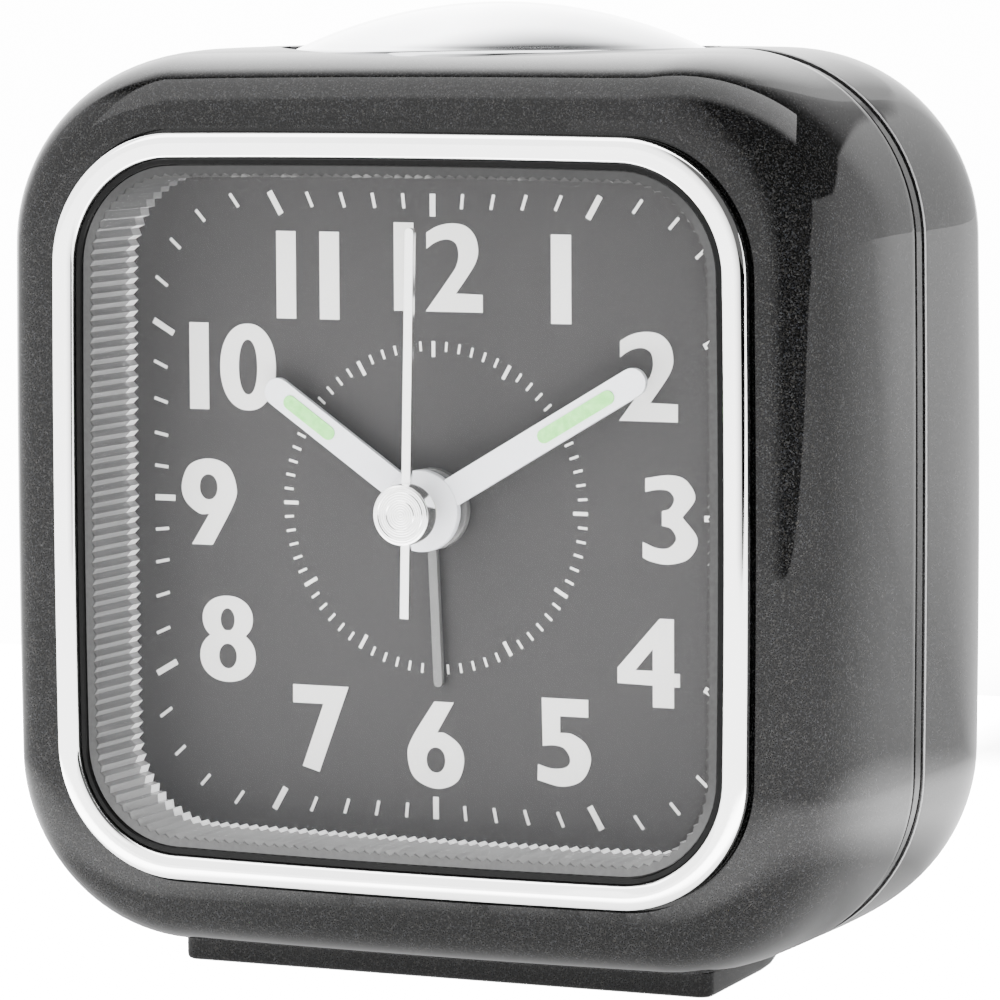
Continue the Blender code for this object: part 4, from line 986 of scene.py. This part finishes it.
def return_spring():
    """Coil spring under the button, baked in place at its full length."""
    turns, per_turn, sides, wire, radius = 4, 32, 10, 0.25, 2.7
    low, high = SPRING_LOW_Z, SPRING_HIGH_Z
    loops = []
    for i in range(turns * per_turn + 1):
        angle = 2 * pi * i / per_turn
        z = low + (high - low) * i / (turns * per_turn)
        loop = []
        for side in range(sides):
            reach = radius + wire * cos(2 * pi * side / sides)
            loop.append((reach * cos(angle), BUTTON_Y + reach * sin(angle),
                         z + wire * sin(2 * pi * side / sides)))
        loops.append(loop)
    piece = finish_piece("return_spring", skin(loops), STEEL, None, smooth=60)
    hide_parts("button_return_spring")
    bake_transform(piece)


# ---------------------------------------------------------------- CAD nodes that keep their shape

NODE_LOOKS = (
    (DIAL, "dial"), (PAINT, "battery_cover"), (BOARD, "circuit_board"), (COPPER, "motor_coil"),
    (BRASS, "cannon_pinion"), (MOVEMENT, "middle_plate movement_cover movement_housing"),
    (STEEL, "case_screw_1 case_screw_2 case_screw_3 case_screw_4 battery_minus_spring "
            "battery_plus_contact motor_stator quartz_crystal"),
    (SHADOW_BLACK, "control_chip slide_switch snooze_switch sounder"),
    (KNOB_GREY, "time_set_knob alarm_set_knob alarm_slide_knob"),
    (NATURAL, "dial_led motor_rotor alarm_wheel centre_wheel hour_wheel intermediate_wheel "
              "minute_work_wheel seconds_wheel third_wheel"),
)


def dress_nodes():
    for look, names in NODE_LOOKS:
        for name in names.split():
            mesh = NODES[name].data
            mesh.materials.clear()
            mesh.materials.append(look)


# ---------------------------------------------------------------- camera, floor and light

def camera():
    turn, rise, roll = radians(24.30), radians(5.55), radians(-0.27)
    back = Vector((sin(turn) * cos(rise), -cos(turn) * cos(rise), sin(rise)))
    level = (-back).cross(Vector((0, 0, 1))).normalized()
    upright = level.cross(-back)
    right = level * cos(roll) + upright * sin(roll)
    up = upright * cos(roll) - level * sin(roll)
    data = bpy.data.cameras.new("front_view")
    data.lens = 204.0
    data.sensor_width = 36.0
    data.clip_end = 50.0
    view = bpy.data.objects.new("front_view", data)
    bpy.context.scene.collection.objects.link(view)
    axes = Matrix((right, up, back)).transposed().to_4x4()
    view.matrix_world = Matrix.Translation((0.19162, -0.42450, 0.08324)) @ axes
    bpy.context.scene.camera = view


def stage_piece(name, corners, look):
    """Flat face of the studio, given by its corners in metres."""
    builder = bmesh.new()
    builder.faces.new([builder.verts.new(corner) for corner in corners])
    piece = new_object(name, builder, [look])
    return piece


def floor_look(name, near_strength, near_from, near_to):
    """White table lit from below, brightest where the camera looks past the clock."""
    look = Look(name, (0.6, 0.6, 0.6), 0.7, 0.0, Specular_IOR_Level=0.0)
    look.into("Base Color", look.ramp(look.noise(30.0), (0.3, 0.59), (0.7, 0.61)))
    sums = Sums(look.tree)
    x, y, _ = look.axes()
    glow = ((-179, 3.0), (-172, 12.0), (-125, 12.0), (-110, 2.5), (-20, 2.2), (90, 2.0), (108, 1.2),
            (140, 0.6), (152, 0.6), (158, 2.6), (165, 3.3), (179, 2.0))
    around = sums.table(sums.bearing(x, y), -180, 180, 12.0, *glow)
    reach = sums("SQRT", sums("ADD", sums("MULTIPLY", x, x), sums("MULTIPLY", y, y)))
    near = sums("MULTIPLY", sums("SUBTRACT", 1.0, sums.rise(reach, 0.085, 0.15)), near_strength)
    near = sums("MULTIPLY", near, sums.rise(reach, near_from, near_to))
    look.into("Emission Strength", sums("MAXIMUM", around, near))
    look.set("Emission Color", (1, 1, 1, 1))
    return look.material


def floor():
    """Table that the camera sees, and a slightly darker sheet that only lights the clock."""
    stage_piece("table", [(-20, -20, 0), (20, -20, 0), (20, 20, 0), (-20, 20, 0)],
                floor_look("white_table", 16.0, -0.02, -0.01))
    sheet = stage_piece("sheet", [(-0.17, -0.17, 0.0001), (0.17, -0.17, 0.0001), (0.17, 0.17, 0.0001),
                                  (-0.17, 0.17, 0.0001)], floor_look("white_sheet", 9.0, 0.038, 0.068))
    sheet.visible_camera = sheet.visible_shadow = sheet.visible_transmission = False


def flag():
    """Dark room beyond the table's front edge, seen only in reflections."""
    look = Look("dark_room", (0.0, 0.0, 0.0), 1.0, 0.0, Specular_IOR_Level=0.0)
    sums = Sums(look.tree)
    open_share = sums("SUBTRACT", 1.0, sums.rise(look.axes()["X"], -0.12, 0.06))
    look.into("Emission Strength", sums("MULTIPLY", open_share, 5.0))
    look.set("Emission Color", (1, 1, 1, 1))
    card = stage_piece("room", [(-0.12, -0.33, 0.0), (3.0, -0.33, 0.0), (3.0, -0.33, 0.08),
                                (-0.12, -0.33, 0.08)], look.material)
    card.visible_camera = card.visible_diffuse = card.visible_shadow = card.visible_transmission = False


def sky():
    """Studio round the clock: one soft box over its front, one behind, a white wall on the left
    and a low white backdrop on the right, with the dark room between them."""
    shell = bpy.data.worlds.new("studio")
    bpy.context.scene.world = shell
    shell.use_nodes = True
    tree = shell.node_tree
    tree.nodes.clear()
    sums = Sums(tree)
    parts = tree.nodes.new("ShaderNodeSeparateXYZ")
    tree.links.new(tree.nodes.new("ShaderNodeTexCoord").outputs["Generated"], parts.inputs[0])
    x, y, z = parts.outputs["X"], parts.outputs["Y"], parts.outputs["Z"]
    bearing = sums.bearing(x, y)
    height = sums("MAXIMUM", z, 0.02)
    across, deep = sums("DIVIDE", x, height), sums("DIVIDE", y, height)
    behind = sums("ADD", sums("MULTIPLY", across, -0.82), sums("MULTIPLY", deep, 0.57))
    aside = sums("ADD", sums("MULTIPLY", across, 0.81), sums("MULTIPLY", deep, 0.59))
    wall = sums.table(bearing, -180, 180, 5.0, (-180, 5.0), (-20, 5.0), (5, 0.2), (180, 0.2))
    wall_low = sums("MULTIPLY", wall, sums("SUBTRACT", 1.0, sums.rise(z, 0.5, 0.75)))
    front_box = sums.mix(sums.rise(behind, -0.35, -0.1), wall, 10.0)
    back_box = sums.table(x, -1.0, 1.0, 20.0, (-1.0, 5.0), (-0.7, 14.0), (-0.42, 20.0), (-0.18, 10.0),
                          (-0.04, 4.0), (0.05, 2.2), (0.3, 1.2), (0.6, 0.3))
    back_box = sums("MULTIPLY", back_box, sums.rise(behind, 0.44, 1.05))
    back_box = sums("MULTIPLY", back_box, sums.rise(y, -0.05, 0.15))
    open_side = sums("MAXIMUM", wall_low, back_box)
    in_front = sums("MULTIPLY", sums("LESS_THAN", behind, 0.466), sums("LESS_THAN", aside, 1.146))
    high = sums.mix(in_front, open_side, front_box)
    low = sums.table(bearing, -180, 180, 15.0, (-180, 6.0), (-165, 14.5), (-130, 14.5), (-95, 5.5),
                     (-20, 5.0), (5, 0.2), (74, 0.2), (76, 5.0), (130, 4.6), (156, 3.3), (161, 4.6),
                     (179, 5.5))
    edge = sums.table(bearing, -180, 180, 1.0, (-180, 0.34), (-160, 0.2), (-20, 0.2), (0, 0.1), (75, 0.02),
                      (104, 0.4), (136, 0.31), (156, 0.38), (175, 0.34))
    level = sums.mix(sums.rise(sums("SUBTRACT", z, edge), -0.01, 0.01), low, high)
    back = tree.nodes.new("ShaderNodeBackground")
    tree.links.new(level, back.inputs["Strength"])
    tree.links.new(back.outputs[0], tree.nodes.new("ShaderNodeOutputWorld").inputs["Surface"])


front_case()
rear_case()
trim_ring()
clear_wall()
gasket()
lens()
dial_print()
hands()
second_hand()
snooze_button()
base_foot()
battery()
return_spring()
dress_nodes()
camera()
floor()
flag()
sky()
